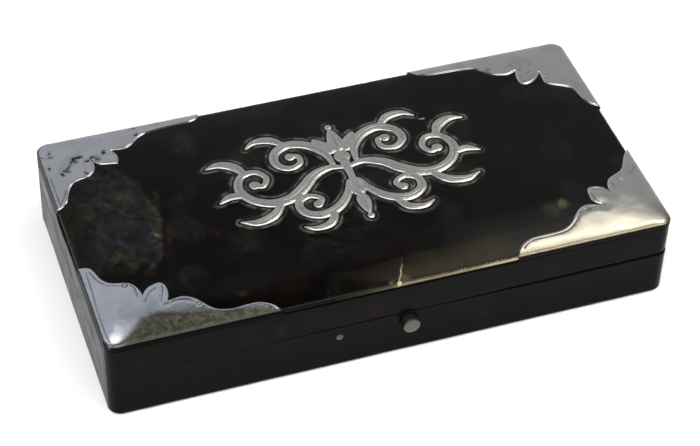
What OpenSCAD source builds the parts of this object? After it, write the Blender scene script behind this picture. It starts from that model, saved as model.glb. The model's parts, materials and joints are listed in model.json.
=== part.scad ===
// Hinged box for needles and pins: a wooden carcass veneered in dark shell,
// with a pressed shell lid panel, four pierced silver corner mounts, a silver
// scroll mount let into the lid, a push-button catch and two stop hinges.
// Millimetres, +Z up, +X along the length, the front face towards -Y.
// The origin is the centre of the underside.

/* [Box] */
// Length over the side veneers
box_length = 150; // [140:1:180]
// Width over the front and back veneers
box_width = 77.4; // [70:0.1:95]
// Height of the tray from the underside to its rim
tray_height = 14; // [13.5:0.1:18]
// Height of the lid's sides
lid_height = 8.95; // [8.5:0.05:12]
// Gap between the two rims when closed
rim_gap = 0.25; // [0.1:0.05:0.4]
// Radius of the upright corners
corner_radius = 3.4; // [2.8:0.1:5]

/* [Walls] */
// Thickness of the shell veneer
veneer = 0.8; // [0.6:0.1:1]
// Thickness of the wooden walls
wall = 4.2; // [4.2:0.1:5]
// Thickness of the tray's bottom board
bottom_board = 3; // [2:0.5:4]
// Thickness of the lid's top board
top_board = 3; // [2:0.5:3]
// Thickness of the cloth cover under the tray
underside_cover = 0.6; // [0.4:0.1:1]

/* [Lid panel] */
// Thickness of the pressed shell panel
panel = 0.9; // [0.7:0.1:1]
// How far the panel stands in from the side veneer
panel_inset = 0.4; // [0.4:0.1:0.8]
// Thickness of the silver corner mounts
mount_silver = 0.35; // [0.25:0.05:0.35]
// Thickness of the silver scroll mount
scroll_silver = 0.4; // [0.3:0.1:0.6]

/* [Catch] */
// Distance of the button to the right of the middle
button_x = 3; // [-4:0.5:4]
// Height of the button's centre
button_z = 10.8; // [10.5:0.1:10.8]
// Diameter of the button
button_d = 4.7; // [4:0.1:5]
// How far the button stands out of the front
button_out = 2.5; // [1.5:0.1:3]
// Radial clearance of the button in its hole
button_clear = 0.08; // [0.05:0.01:0.1]
// Distance from the button to the rivet of its spring
rivet_offset = 18.5; // [16:0.5:20]

/* [Hinges] */
// Distance from the middle to the centre of each hinge
hinge_x = 44; // [35:1:52]
// Length of each hinge
hinge_length = 18; // [14:1:22]
// Angle to which the bevelled back edges let the lid open
open_angle = 100; // [92:1:104]
// Distance of the hinge axis in from the back face
axis_in = 1.5; // [1.4:0.1:1.6]
// Radius of the hinge knuckles
knuckle_r = 1.2; // [1.1:0.05:1.2]
// Radius of the hinge pins
pin_r = 0.45; // [0.4:0.05:0.5]

/* [Interior] */
// Number of cross dividers in the tray
dividers = 3; // [3:1:3]
// Thickness of each divider
divider_t = 1.8; // [1.4:0.1:2.4]
// Thickness of the lining on the walls
lining = 1.2; // [0.8:0.1:1.4]

/* [Hidden] */

eps = 0.01;
L = box_length;
W = box_width;
hL = L / 2;
hW = W / 2;
z_rim = tray_height;                    // rim of the tray
z_lid = tray_height + rim_gap;          // rim of the lid
z_top = z_lid + lid_height;             // top edge of the lid's sides
z_axis = tray_height + rim_gap / 2;     // hinge axis
y_axis = hW - axis_in;
bevel = open_angle / 2 + 0.5;           // slope of each back bevel
wy = hW - veneer;                       // outer faces of the wood
wx = hL - veneer;
iy = wy - wall;                         // inner faces of the wood
ix = wx - wall;
z_board = underside_cover + bottom_board;
seam = 4;                               // veneer joint, back from each end face
rivet_x = button_x - rivet_offset;
rivet_z = button_z - 0.4;
blade_y = -iy - 2.4;                    // front face of the spring's recess
nail_y = -wy + 1.05;                    // nails of the catch's two plates

shell_c = [0.09, 0.06, 0.05];
wood_c = [0.42, 0.24, 0.13];
silver_c = [0.82, 0.83, 0.85];
brass_c = [0.76, 0.6, 0.3];
steel_c = [0.5, 0.5, 0.52];
velvet_c = [0.33, 0.07, 0.1];
silk_c = [0.74, 0.62, 0.42];
cloth_c = [0.12, 0.09, 0.1];

// ---- general shapes -------------------------------------------------------

// rectangle l by w with round corners
module rounded(l, w, r) {
  square([l - 2 * r, w], center = true);
  square([l, w - 2 * r], center = true);
  for (sx = [-1, 1], sy = [-1, 1])
    translate([sx * (l / 2 - r), sy * (w / 2 - r)]) circle(r = r, $fn = 48);
}

// block between two corners
module block(a, b) {
  translate(a) cube(b - a);
}

// the wedge that the two back bevels leave open
module back_bevel() {
  translate([-hL - 2, 0, 0]) rotate([90, 0, 90]) linear_extrude(L + 4)
    polygon([[y_axis, z_axis], [y_axis + 6, z_axis - 6 * tan(bevel)],
             [y_axis + 6, z_axis + 6 * tan(bevel)]]);
}

// seats cut round the knuckles of both hinges
module knuckle_seats() {
  for (s = [-1, 1])
    translate([s * hinge_x - hinge_length / 2 - 0.2, y_axis, z_axis])
      rotate([0, 90, 0]) cylinder(r = knuckle_r + 0.25, h = hinge_length + 0.4, $fn = 48);
}

// band of veneer between two heights, all round the box
module band(z0, z1) {
  translate([0, 0, z0]) linear_extrude(z1 - z0) difference() {
    rounded(L, W, corner_radius);
    rounded(L - 2 * veneer, W - 2 * veneer, corner_radius - veneer);
  }
}

// solid wooden block of the carcass, all round, between two heights
module carcass(z0, z1) {
  translate([0, 0, z0]) linear_extrude(z1 - z0)
    rounded(2 * wx, 2 * wy, corner_radius - veneer);
}

module front_part() { block([-hL - 1, -hW - 1, -1], [hL + 1, -hW + seam, 40]); }
module back_part() { block([-hL - 1, hW - seam, -1], [hL + 1, hW + 1, 40]); }
module left_part() { block([-hL - 1, -hW + seam, -1], [0, hW - seam, 40]); }
module right_part() { block([0, -hW + seam, -1], [hL + 1, hW - seam, 40]); }

// ---- tray -----------------------------------------------------------------

module button_hole(r) {
  translate([button_x, -hW - 1, button_z]) rotate([-90, 0, 0])
    cylinder(r = r, h = 1 + veneer + wall, $fn = 64);
}

module rivet_hole() {
  translate([rivet_x, -hW - 1, rivet_z]) rotate([-90, 0, 0])
    cylinder(r = 0.72, h = 1 + veneer + wall, $fn = 32);
}

// hollow behind the front wall that holds the spring and lets the hook pass
module catch_recess() {
  block([rivet_x - 3, blade_y, button_z - 3], [button_x + 4.4, -iy + 1, button_z + 2.0]);
  block([button_x - 2.3, blade_y, button_z], [button_x + 2.3, -iy + 1, z_rim + 1]);
  block([button_x - 7, -wy + 0.3, z_rim - 0.5], [button_x + 7, -iy + 1, z_rim + 1]);
}

module tray_front_wall() color(wood_c) difference() {
  intersection() {
    carcass(z_board, z_rim);
    block([-hL, -hW, 0], [hL, -iy, 40]);
  }
  button_hole(button_d / 2 + button_clear);
  rivet_hole();
  catch_recess();
}

module tray_back_wall() color(wood_c) difference() {
  intersection() {
    carcass(z_board, z_rim);
    block([-hL, iy, 0], [hL, hW, 40]);
  }
  back_bevel();
  knuckle_seats();
  for (s = [-1, 1]) {
    block([s * hinge_x - hinge_length / 2 - 0.05, iy - 1, z_rim - 0.6],
          [s * hinge_x + hinge_length / 2 + 0.05, y_axis, z_rim + 1]);
    block([s * hinge_x - hinge_length / 2 - 0.05, iy - 1, z_rim - 6],
          [s * hinge_x + hinge_length / 2 + 0.05, iy + 0.6, z_rim + 1]);
  }
}

module tray_side_wall(s) color(wood_c) intersection() {
  carcass(z_board, z_rim);
  if (s < 0) block([-hL, -iy, 0], [-ix, iy, 40]);
  else block([ix, -iy, 0], [hL, iy, 40]);
}

module tray_bottom_board() color(wood_c) carcass(underside_cover, z_board);

module tray_underside_cover() color(cloth_c)
  linear_extrude(underside_cover)
    rounded(2 * wx - 0.2, 2 * wy - 0.2, corner_radius - veneer);

module tray_veneer() difference() {
  band(0.3, z_rim);
  back_bevel();
  knuckle_seats();
  button_hole(button_d / 2 + button_clear);
  rivet_hole();
}

module tray_front_veneer() color(shell_c) intersection() { tray_veneer(); front_part(); }
module tray_back_veneer() color(shell_c) intersection() { tray_veneer(); back_part(); }
module tray_left_veneer() color(shell_c) intersection() { tray_veneer(); left_part(); }
module tray_right_veneer() color(shell_c) intersection() { tray_veneer(); right_part(); }

z_lining = z_rim - 0.6;
module tray_wall_lining() color(velvet_c) difference() {
  block([-ix, -iy, z_board], [ix, iy, z_lining]);
  block([-ix + lining, -iy + lining, 0], [ix - lining, iy - lining, 40]);
}

floor_z = z_board + 1;
module tray_floor_lining() color(velvet_c)
  block([-ix + lining, -iy + lining, z_board], [ix - lining, iy - lining, floor_z]);

bay_x = ix - lining;                    // half length of the lined tray
bay_y = iy - lining;
pitch = (2 * bay_x + divider_t) / (dividers + 1);
function divider_x(i) = -bay_x - divider_t / 2 + pitch * (i + 1);

module divider(i) color(velvet_c)
  block([divider_x(i) - divider_t / 2, -bay_y, floor_z],
        [divider_x(i) + divider_t / 2, bay_y, z_rim - 1.4]);

module pincushion() color(velvet_c)
  translate([(divider_x(2) + divider_t / 2 + bay_x) / 2, 0, floor_z])
    linear_extrude(z_rim - 1.0 - floor_z)
      rounded(pitch - divider_t - 0.4, 2 * bay_y - 0.4, 3);

// ---- lid ------------------------------------------------------------------

z_ceiling = z_top - top_board;

module hook_pocket() {
  block([button_x - 2.8, -wy + 0.9, z_lid - 1], [button_x + 2.8, -iy + 1, z_lid + 3.2]);
  block([button_x - 7, -wy + 0.3, z_lid - 1], [button_x + 7, -iy + 1, z_lid + 0.6]);
}

module lid_front_wall() color(wood_c) difference() {
  intersection() {
    carcass(z_lid, z_ceiling);
    block([-hL, -hW, 0], [hL, -iy, 40]);
  }
  hook_pocket();
}

module lid_back_wall() color(wood_c) difference() {
  intersection() {
    carcass(z_lid, z_ceiling);
    block([-hL, iy, 0], [hL, hW, 40]);
  }
  back_bevel();
  knuckle_seats();
  for (s = [-1, 1]) {
    block([s * hinge_x - hinge_length / 2 - 0.05, iy - 1, z_lid - 1],
          [s * hinge_x + hinge_length / 2 + 0.05, y_axis, z_lid + 0.6]);
    block([s * hinge_x - hinge_length / 2 - 0.05, iy - 1, z_lid - 1],
          [s * hinge_x + hinge_length / 2 + 0.05, iy + 0.6, z_lid + 4.6]);
  }
}

module lid_side_wall(s) color(wood_c) intersection() {
  carcass(z_lid, z_ceiling);
  if (s < 0) block([-hL, -iy, 0], [-ix, iy, 40]);
  else block([ix, -iy, 0], [hL, iy, 40]);
}

module lid_veneer() difference() {
  band(z_lid, z_top);
  back_bevel();
  knuckle_seats();
}

module lid_front_veneer() color(shell_c) intersection() { lid_veneer(); front_part(); }
module lid_back_veneer() color(shell_c) intersection() { lid_veneer(); back_part(); }
module lid_left_veneer() color(shell_c) intersection() { lid_veneer(); left_part(); }
module lid_right_veneer() color(shell_c) intersection() { lid_veneer(); right_part(); }

// Cushion-shaped top: [inset from the edge, height above the lid's sides].
// It is flat more than 13 mm in from the edge.
profile = [[0, 0], [0, 0.5], [0.15, 0.78], [0.5, 1.02], [1.1, 1.2], [2.2, 1.42],
           [4, 1.68], [6.2, 1.9], [9, 2.08], [13, 2.15]];
panel_a = hL - panel_inset;
panel_b = hW - panel_inset;
panel_r = 3.0;
arc_n = 7;
ring_n = 4 * arc_n;

function ring(a, b, r, z) = [
  for (k = [0:3], i = [0:arc_n - 1])
    let (t = 90 * k + 90 * i / (arc_n - 1),
         cx = (k == 0 || k == 3 ? 1 : -1) * (a - r),
         cy = (k < 2 ? 1 : -1) * (b - r))
    [cx + r * cos(t), cy + r * sin(t), z]
];

// points of the cushion shape grown by g, standing on the top edge of the lid's sides
function cushion_points(g) = [for (k = [0:len(profile) - 1])
  each ring(panel_a + g - profile[k][0], panel_b + g - profile[k][0],
            panel_r + g + 0.8 * profile[k][0],
            z_top + (k == 0 ? 0 : max(profile[k][1] + g, 0.03 * k)))];

// its side faces, from point number o on
function cushion_sides(o) = [for (k = [0:len(profile) - 2], i = [0:ring_n - 1])
  let (j = (i + 1) % ring_n)
  [o + k * ring_n + i, o + (k + 1) * ring_n + i, o + (k + 1) * ring_n + j, o + k * ring_n + j]];
function cushion_cap(o) = [for (i = [0:ring_n - 1]) o + len(profile) * ring_n - 1 - i];
function turned(faces) = [for (f = faces) [for (i = [len(f) - 1:-1:0]) f[i]]];

module cushion(g) {
  polyhedron(points = cushion_points(g), convexity = 4, faces = concat(
    [[for (i = [0:ring_n - 1]) i]], cushion_sides(0), [cushion_cap(0)]));
}

// shell between the cushion grown by g1 and the one grown by g0
module cushion_shell(g0, g1) {
  n = len(profile) * ring_n;
  polyhedron(points = concat(cushion_points(g1), cushion_points(g0)), convexity = 6,
    faces = concat(
      cushion_sides(0), [cushion_cap(0)],
      turned(cushion_sides(n)), turned([cushion_cap(n)]),
      [for (i = [0:ring_n - 1]) let (j = (i + 1) % ring_n) [i, j, n + j, n + i]]));
}

module lid_top_board() color(wood_c) carcass(z_ceiling, z_top);

// shaped block under the shell panel
module lid_crown() color(wood_c) cushion(-panel);

module lid_shell_panel() color(shell_c) cushion_shell(-panel, 0);

module lid_wall_lining() color(silk_c) difference() {
  block([-ix, -iy, z_lid + 0.5], [ix, iy, z_ceiling]);
  block([-ix + 1, -iy + 1, 0], [ix - 1, iy - 1, 40]);
  for (s = [-1, 1])
    block([s * hinge_x - hinge_length / 2 - 1, iy - 2, 0],
          [s * hinge_x + hinge_length / 2 + 1, iy + 1, z_lid + 0.9]);
}

module lid_silk_pad() color(silk_c)
  translate([0, 0, z_ceiling - 2.6]) linear_extrude(2.6)
    rounded(2 * (ix - 1.3), 2 * (iy - 1.3), 2);

// ---- silver ---------------------------------------------------------------

// one span of a smooth curve through four points
function span(p0, p1, p2, p3, t) =
  0.5 * ((2 * p1) + (p2 - p0) * t + (2 * p0 - 5 * p1 + 4 * p2 - p3) * t * t
         + (3 * p1 - p0 - 3 * p2 + p3) * t * t * t);

// smooth curve through all the points, n steps for each span
function smooth(p, n) = let (m = len(p)) [
  for (i = [0:m - 2], s = [0:n - 1])
    span(p[max(i - 1, 0)], p[i], p[i + 1], p[min(i + 2, m - 1)], s / n),
  p[m - 1]
];

// Pierced edges of the four corner mounts. They were cut by hand and differ a
// little. Each edge is three curves that meet in two notches, from the short
// arm's tip to the long arm's: [distance from the end face, distance from the
// front face, or from the back face for a back mount].
edge_front_left = [
  [[0, 28.9], [0.9, 28.9], [2.2, 28.4], [3.1, 27.5], [3.7, 26], [4.2, 24.2],
   [4.8, 22.8], [6, 21.4], [7.6, 20.6], [9.3, 20.1], [10.7, 19.6], [11.7, 18.5],
   [12.4, 17], [12.8, 15.5], [12.9, 14.2]],
  [[12.9, 14.2], [13.6, 15.4], [14.8, 16.6], [16.2, 17.2], [17.6, 17.5],
   [18.5, 17.1], [19.1, 15.9], [19.2, 14.3], [19, 12.7], [18.3, 10.9]],
  [[18.3, 10.9], [20, 11.1], [22, 11.3], [23.8, 10.6], [25.2, 9.4], [26.4, 7.8],
   [27.5, 6.3], [29, 5], [31, 4.3], [33.5, 4], [36.5, 4.2], [39, 4.2], [41, 3.6],
   [42.8, 2.5], [44, 1], [44.7, 0]]];
edge_front_right = [
  [[0, 29.8], [0.8, 29.1], [1.8, 27.9], [2.8, 26.4], [3.7, 24.8], [4.6, 23.2],
   [5.8, 21.8], [7.4, 20.9], [9, 20.2], [10.3, 19.3], [11.1, 18.1], [11.6, 16.6],
   [11.7, 15.4], [11.6, 14.3]],
  [[11.6, 14.3], [12.1, 15.8], [13, 16.9], [14.3, 17.7], [15.7, 17.9],
   [16.8, 17.6], [17.4, 16.6], [17.6, 15], [17.7, 13.4], [17.1, 12.1], [15.6, 10.8]],
  [[15.6, 10.8], [17, 11.3], [18.4, 11.8], [20, 11.9], [21.6, 11.3], [22.9, 10.3],
   [24.2, 8.9], [25.4, 7.5], [26.9, 6.3], [28.8, 5.4], [31, 5.1], [34, 5.1],
   [36.8, 5], [39, 4.5], [41, 3.5], [42.4, 2.1], [43, 0.7], [43, 0]]];
edge_back_left = [
  [[0, 26.1], [1.2, 26], [2.4, 25.4], [3.3, 24.3], [3.9, 22.6], [4.6, 20.8],
   [5.6, 19], [7, 18], [8.8, 17.6], [10.4, 17.2], [11.7, 16.3], [12.7, 15],
   [13.1, 13.4], [13.2, 11.6]],
  [[13.2, 11.6], [13.9, 12.8], [15, 13.6], [16.4, 13.9], [17.8, 14.1],
   [18.8, 14.4], [19.4, 13.6], [19.7, 12.2], [19.6, 10.6], [18.8, 8.8]],
  [[18.8, 8.8], [20, 9], [21.6, 9.2], [23.1, 8.8], [24.5, 7.9], [25.8, 6.6],
   [27.2, 5.4], [29, 4.6], [31.5, 4.2], [34.5, 3.9], [37.5, 3.8], [40, 3.7],
   [42, 3.4], [43.6, 2.7], [44.5, 1.4], [44.8, 0]]];
edge_back_right = [
  [[0, 29.4], [1, 29], [2.2, 28.2], [3.1, 27.1], [3.7, 25.6], [4.1, 23.8],
   [4.5, 22.2], [5.4, 20.6], [6.9, 19.6], [8.6, 18.8], [10, 18], [11, 17.1],
   [11.3, 15.9], [11.2, 14.3], [11.1, 12.2]],
  [[11.1, 12.2], [12, 13.5], [13.1, 14.6], [14.4, 15.4], [15.7, 15.8],
   [16.8, 15.9], [17.7, 15.2], [18, 13.9], [17.9, 12.3], [17.6, 11], [17.2, 9.6]],
  [[17.2, 9.6], [18.4, 10.2], [20, 10.6], [21.6, 10.3], [23.2, 9.7], [24.6, 8.6],
   [26, 7.1], [27.4, 5.6], [29.2, 5], [32, 4.6], [35.5, 4.5], [38.5, 4.4],
   [40.8, 4.1], [42.6, 3.4], [44.2, 1.9], [45.2, 0.6], [45.4, 0]]];

module mount_outline(e) {
  last = e[2][len(e[2]) - 1];
  polygon(concat([[-3, -3], [-3, e[0][0][1]]],
                 smooth(e[0], 2), smooth(e[1], 2), smooth(e[2], 2), [[last[0], -3]]));
}

module corner_mount(sx, sy, e) color(silver_c) intersection() {
  cushion_shell(0, mount_silver);
  scale([sx, sy, 1]) translate([-panel_a - mount_silver, -panel_b - mount_silver, z_top])
    linear_extrude(4) mount_outline(e);
}

// two small pins hold each mount near its edges
pin_spots = [[1.2, 9.2, 1.2], [16.4, 3.1, 1.5]];
module corner_mount_pins() color(silver_c)
  for (sx = [-1, 1], sy = [-1, 1], p = pin_spots)
    translate([sx * (panel_a - p[0]), sy * (panel_b - p[1]), z_top + p[2] - 2.6]) {
      cylinder(r = 0.35, h = 2.8, $fn = 16);
      translate([0, 0, 2.7]) cylinder(r = 0.6, h = 0.25, $fn = 24);
    }

// Right half of the scroll mount, as strokes of [x, y, width]
scroll_strokes = [
  // S-scroll from the middle to the curled end
  [[1.2, 2.6, 1.4], [5, 3.4, 2.2], [9.5, 1.6, 3], [13.5, -2.2, 3.4], [18, -5, 3.3],
   [23, -5.2, 3], [27.6, -2.4, 2.7], [29.6, 2.2, 2.4], [27.8, 6.6, 2.1], [23.8, 7.4, 1.9],
   [21.6, 4.4, 1.7], [23.2, 1.6, 1.5], [25.6, 2.8, 1.5]],
  // upper C-scroll
  [[3.2, 4.6, 1.4], [4.2, 9.2, 2.3], [7.6, 13.4, 2.9], [12.4, 15, 2.9], [16.6, 12.8, 2.6],
   [17.6, 8.8, 2.3], [14.8, 6.2, 2], [11.4, 7.2, 1.7], [11.2, 10.2, 1.5], [13.4, 10.6, 1.5]],
  // lower C-scroll
  [[1.4, -3, 1.3], [3.2, -7.6, 2.2], [7, -11.6, 2.8], [12, -13, 2.8], [16, -10.8, 2.5],
   [16.2, -7, 2.1], [13, -5.4, 1.8], [10.2, -7.2, 1.6], [11.4, -9.4, 1.5]],
  // leaves
  [[20, -5.6, 1.4], [23.6, -9.6, 2.8], [28.4, -11, 2.4], [32.6, -9.6, 0.5]],
  [[26.4, 7, 1.4], [28.4, 10.8, 2.9], [32.2, 12.8, 2.4], [35.8, 12, 0.5]],
  [[29.2, -0.6, 1.4], [32.4, 0.2, 2.4], [35.8, -1.6, 0.5]],
  [[13.2, 15.2, 1.4], [16.6, 18.2, 2.7], [20.6, 18.6, 2], [23.6, 16.6, 0.5]],
  [[8, -12.4, 1.4], [10.4, -16.4, 2.4], [14.6, -17.4, 1.8], [17.6, -16, 0.5]],
  // middle stem
  [[0, 4.2, 2.6], [0, -1, 1.9], [0, -6, 2.4]]
];
// petals as [x, y, half width, half length, turn]
scroll_petals = [[0, 13.2, 2, 4.6, 0], [3.6, 11.9, 1.7, 4, -32], [0, -12.2, 1.7, 3.8, 180]];
// beads as [x, y, radius]
scroll_beads = [[0, 6.6, 2.2], [0, -7, 1.9], [25.2, 2.6, 1.5], [13.2, 10.4, 1.4],
                [11.6, -9, 1.3], [0, 18.6, 1], [0, -16.9, 1]];

function normal2(a, b) = let (d = b - a, n = norm(d)) [-d[1] / n, d[0] / n];

// a stroke of changing width along a smooth line, with round ends
module stroke(p) {
  c = smooth(p, 2);
  m = len(c);
  side = [for (i = [0:m - 1])
    let (a = c[max(i - 1, 0)], b = c[min(i + 1, m - 1)],
         n = normal2([a[0], a[1]], [b[0], b[1]]))
    [[c[i][0], c[i][1]] + n * c[i][2] / 2, [c[i][0], c[i][1]] - n * c[i][2] / 2]];
  polygon(concat([for (s = side) s[0]], [for (i = [m - 1:-1:0]) side[i][1]]));
  for (e = [0, m - 1])
    translate([c[e][0], c[e][1]]) circle(d = c[e][2], $fn = 16);
}

module petal(p) {
  translate([p[0], p[1]]) rotate(p[4]) polygon([for (i = [0:15])
    let (t = 22.5 * i) [p[2] * sin(t) * (1 - 0.35 * cos(t)), p[3] * cos(t)]]);
}

module scroll_half() {
  for (s = scroll_strokes) stroke(s);
  for (p = scroll_petals) petal(p);
  for (b = scroll_beads) translate([b[0], b[1]]) circle(r = b[2], $fn = 24);
}

scroll_x = 1;
scroll_y = 3;
z_scroll = z_top + profile[len(profile) - 1][1];
module scroll_mount() color(silver_c)
  translate([scroll_x, scroll_y, z_scroll]) linear_extrude(scroll_silver)
    offset(delta = 0.01) {
      scroll_half();
      mirror([1, 0]) scroll_half();
    }

// ---- hinges ---------------------------------------------------------------

knuckles = 5;
k_len = hinge_length / knuckles;

// knuckles i of one hinge, drilled for the pin: even ones on the tray
module knuckle_row(first) {
  for (i = [first:2:knuckles - 1])
    translate([-hinge_length / 2 + i * k_len + 0.04, 0, 0]) rotate([0, 90, 0])
      cylinder(r = knuckle_r, h = k_len - 0.08, $fn = 48);
}

module pin_hole() {
  translate([-hinge_length / 2 - 1, 0, 0]) rotate([0, 90, 0])
    cylinder(r = pin_r + 0.05, h = hinge_length + 2, $fn = 32);
}

module tray_leaf() difference() {
  union() {
    knuckle_row(0);
    for (i = [0:2:knuckles - 1])
      block([-hinge_length / 2 + i * k_len + 0.04, -axis_in - veneer, z_rim - 0.6 - z_axis],
            [-hinge_length / 2 + (i + 1) * k_len - 0.04, -0.6, z_rim - z_axis]);
    block([-hinge_length / 2, iy - y_axis, z_rim - 0.6 - z_axis],
          [hinge_length / 2, -knuckle_r - 0.3, z_rim - z_axis]);
    block([-hinge_length / 2, iy - y_axis, z_rim - 6 - z_axis],
          [hinge_length / 2, iy - y_axis + 0.6, z_rim - z_axis]);
  }
  pin_hole();
}

module lid_leaf() difference() {
  union() {
    knuckle_row(1);
    for (i = [1:2:knuckles - 1])
      block([-hinge_length / 2 + i * k_len + 0.04, -axis_in - veneer, z_lid - z_axis],
            [-hinge_length / 2 + (i + 1) * k_len - 0.04, -0.6, z_lid + 0.6 - z_axis]);
    block([-hinge_length / 2, iy - y_axis, z_lid - z_axis],
          [hinge_length / 2, -knuckle_r - 0.3, z_lid + 0.6 - z_axis]);
    block([-hinge_length / 2, iy - y_axis, z_lid - z_axis],
          [hinge_length / 2, iy - y_axis + 0.6, z_lid + 4.6 - z_axis]);
  }
  pin_hole();
}

module at_hinge(s) { translate([s * hinge_x, y_axis, z_axis]) children(); }

module hinge_pin(s) color(steel_c) at_hinge(s)
  translate([-hinge_length / 2 - 0.1, 0, 0]) rotate([0, 90, 0])
    cylinder(r = pin_r, h = hinge_length + 0.2, $fn = 32);

module flange_nails(z) for (s = [-1, 1], t = [-1, 0, 1])
  translate([s * hinge_x + t * 6.2, iy + 0.02, z]) rotate([-90, 0, 0]) {
    cylinder(r = 0.4, h = 2.6, $fn = 16);
    cylinder(r = 0.75, h = 0.3, $fn = 24);
  }

module hinge_tray_nails() color(brass_c) flange_nails(z_rim - 4);
module hinge_lid_nails() color(brass_c) flange_nails(z_lid + 3.0);

// ---- catch ----------------------------------------------------------------

blade_t = 0.4;
hook_t = 0.6;

// button, its shoulder on the spring and the stem riveted behind the hook
module catch_button() color(silver_c) translate([button_x, 0, button_z]) rotate([-90, 0, 0]) {
  rotate_extrude($fn = 64) polygon([
    [0, -hW - button_out], [button_d / 2 - 0.9, -hW - button_out + 0.06],
    [button_d / 2 - 0.35, -hW - button_out + 0.22], [button_d / 2, -hW - button_out + 0.6],
    [button_d / 2, blade_y], [0.6, blade_y], [0.6, blade_y + blade_t + hook_t],
    [1.1, blade_y + blade_t + hook_t], [1.1, blade_y + blade_t + hook_t + 0.3],
    [0, blade_y + blade_t + hook_t + 0.3]]);
}

// hook plate behind the spring, with its nose over the strike plate
module catch_hook() color(steel_c) difference() {
  translate([button_x - 1.8, 0, 0]) rotate([90, 0, 90]) linear_extrude(3.6) polygon([
    [blade_y + blade_t, button_z - 1.6], [blade_y + blade_t + hook_t, button_z - 1.6],
    [blade_y + blade_t + hook_t, z_lid + 2.3], [blade_y + blade_t - 0.1, z_lid + 2.3],
    [blade_y - 0.6, z_lid + 1.3], [blade_y - 0.6, z_lid + 0.75],
    [blade_y + blade_t, z_lid + 0.75]]);
  translate([button_x, 0, button_z]) rotate([90, 0, 0])
    translate([0, 0, -10]) cylinder(r = 0.62, h = 100, $fn = 32);
}

// flat spring, riveted to the wall at one end
module catch_spring() color(steel_c) difference() {
  block([rivet_x - 2.4, blade_y, button_z - 2.4], [button_x + 3.2, blade_y + blade_t, button_z + 1.8]);
  translate([button_x, 0, button_z]) rotate([90, 0, 0]) cylinder(r = 0.66, h = 100, $fn = 32);
  translate([rivet_x, 0, rivet_z]) rotate([90, 0, 0]) cylinder(r = 0.72, h = 100, $fn = 32);
}

module catch_rivet() color(silver_c) translate([rivet_x, 0, rivet_z]) rotate([-90, 0, 0])
  rotate_extrude($fn = 32) polygon([
    [0, -hW - 0.32], [0.5, -hW - 0.28], [0.85, -hW - 0.1], [0.95, -hW],
    [0.7, -hW], [0.7, blade_y + blade_t], [1.2, blade_y + blade_t],
    [1.2, blade_y + blade_t + 0.35], [0, blade_y + blade_t + 0.35]]);

module catch_plate() color(brass_c) difference() {
  block([button_x - 7 + 0.05, -wy + 0.35, z_rim - 0.5], [button_x + 7 - 0.05, -iy, z_rim]);
  block([button_x - 2.3, blade_y, 0], [button_x + 2.3, 0, 40]);
  for (s = [-1, 1]) translate([button_x + s * 5.5, nail_y, 0]) cylinder(r = 0.42, h = 40, $fn = 24);
}

module strike_plate() color(brass_c) difference() {
  block([button_x - 7 + 0.05, -wy + 0.35, z_lid], [button_x + 7 - 0.05, -iy, z_lid + 0.6]);
  block([button_x - 2.5, blade_y - 0.05, 0], [button_x + 2.5, 0, 40]);
  for (s = [-1, 1]) translate([button_x + s * 5.5, nail_y, 0]) cylinder(r = 0.42, h = 40, $fn = 24);
}

module catch_plate_nails() color(brass_c) for (s = [-1, 1])
  translate([button_x + s * 5.5, nail_y, z_rim]) {
    translate([0, 0, -2.6]) cylinder(r = 0.4, h = 2.6, $fn = 16);
    cylinder(r = 0.65, h = 0.08, $fn = 24);
  }

module strike_plate_nails() color(brass_c) for (s = [-1, 1])
  translate([button_x + s * 5.5, nail_y, z_lid]) {
    cylinder(r = 0.4, h = 3, $fn = 16);
    translate([0, 0, -0.08]) cylinder(r = 0.65, h = 0.08, $fn = 24);
  }

// ---- assembly -------------------------------------------------------------

tray_front_wall();
tray_back_wall();
tray_side_wall(-1);  // tray_left_wall
tray_side_wall(1);  // tray_right_wall
tray_bottom_board();
tray_underside_cover();
tray_front_veneer();
tray_back_veneer();
tray_left_veneer();
tray_right_veneer();
tray_wall_lining();
tray_floor_lining();
divider(0);  // divider_left
divider(1);  // divider_middle
divider(2);  // divider_right
pincushion();
lid_front_wall();
lid_back_wall();
lid_side_wall(-1);  // lid_left_wall
lid_side_wall(1);  // lid_right_wall
lid_top_board();
lid_crown();
lid_front_veneer();
lid_back_veneer();
lid_left_veneer();
lid_right_veneer();
lid_shell_panel();
lid_wall_lining();
lid_silk_pad();
corner_mount(1, 1, edge_front_left);  // corner_mount_front_left
corner_mount(-1, 1, edge_front_right);  // corner_mount_front_right
corner_mount(1, -1, edge_back_left);  // corner_mount_back_left
corner_mount(-1, -1, edge_back_right);  // corner_mount_back_right
corner_mount_pins();
scroll_mount();
color(brass_c) at_hinge(-1) tray_leaf();  // hinge_left_tray_leaf
color(brass_c) at_hinge(-1) lid_leaf();  // hinge_left_lid_leaf
hinge_pin(-1);  // hinge_left_pin
color(brass_c) at_hinge(1) tray_leaf();  // hinge_right_tray_leaf
color(brass_c) at_hinge(1) lid_leaf();  // hinge_right_lid_leaf
hinge_pin(1);  // hinge_right_pin
hinge_tray_nails();
hinge_lid_nails();
catch_button();
catch_hook();
catch_spring();
catch_rivet();
catch_plate();
strike_plate();
catch_plate_nails();
strike_plate_nails();
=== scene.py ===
"""Looks of a shell-veneered, silver-mounted pin box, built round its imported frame. Lengths in the helpers are millimetres."""

import json
import math

import bpy
import numpy as np
from mathutils import Matrix, Vector
from mathutils.geometry import delaunay_2d_cdt

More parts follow.
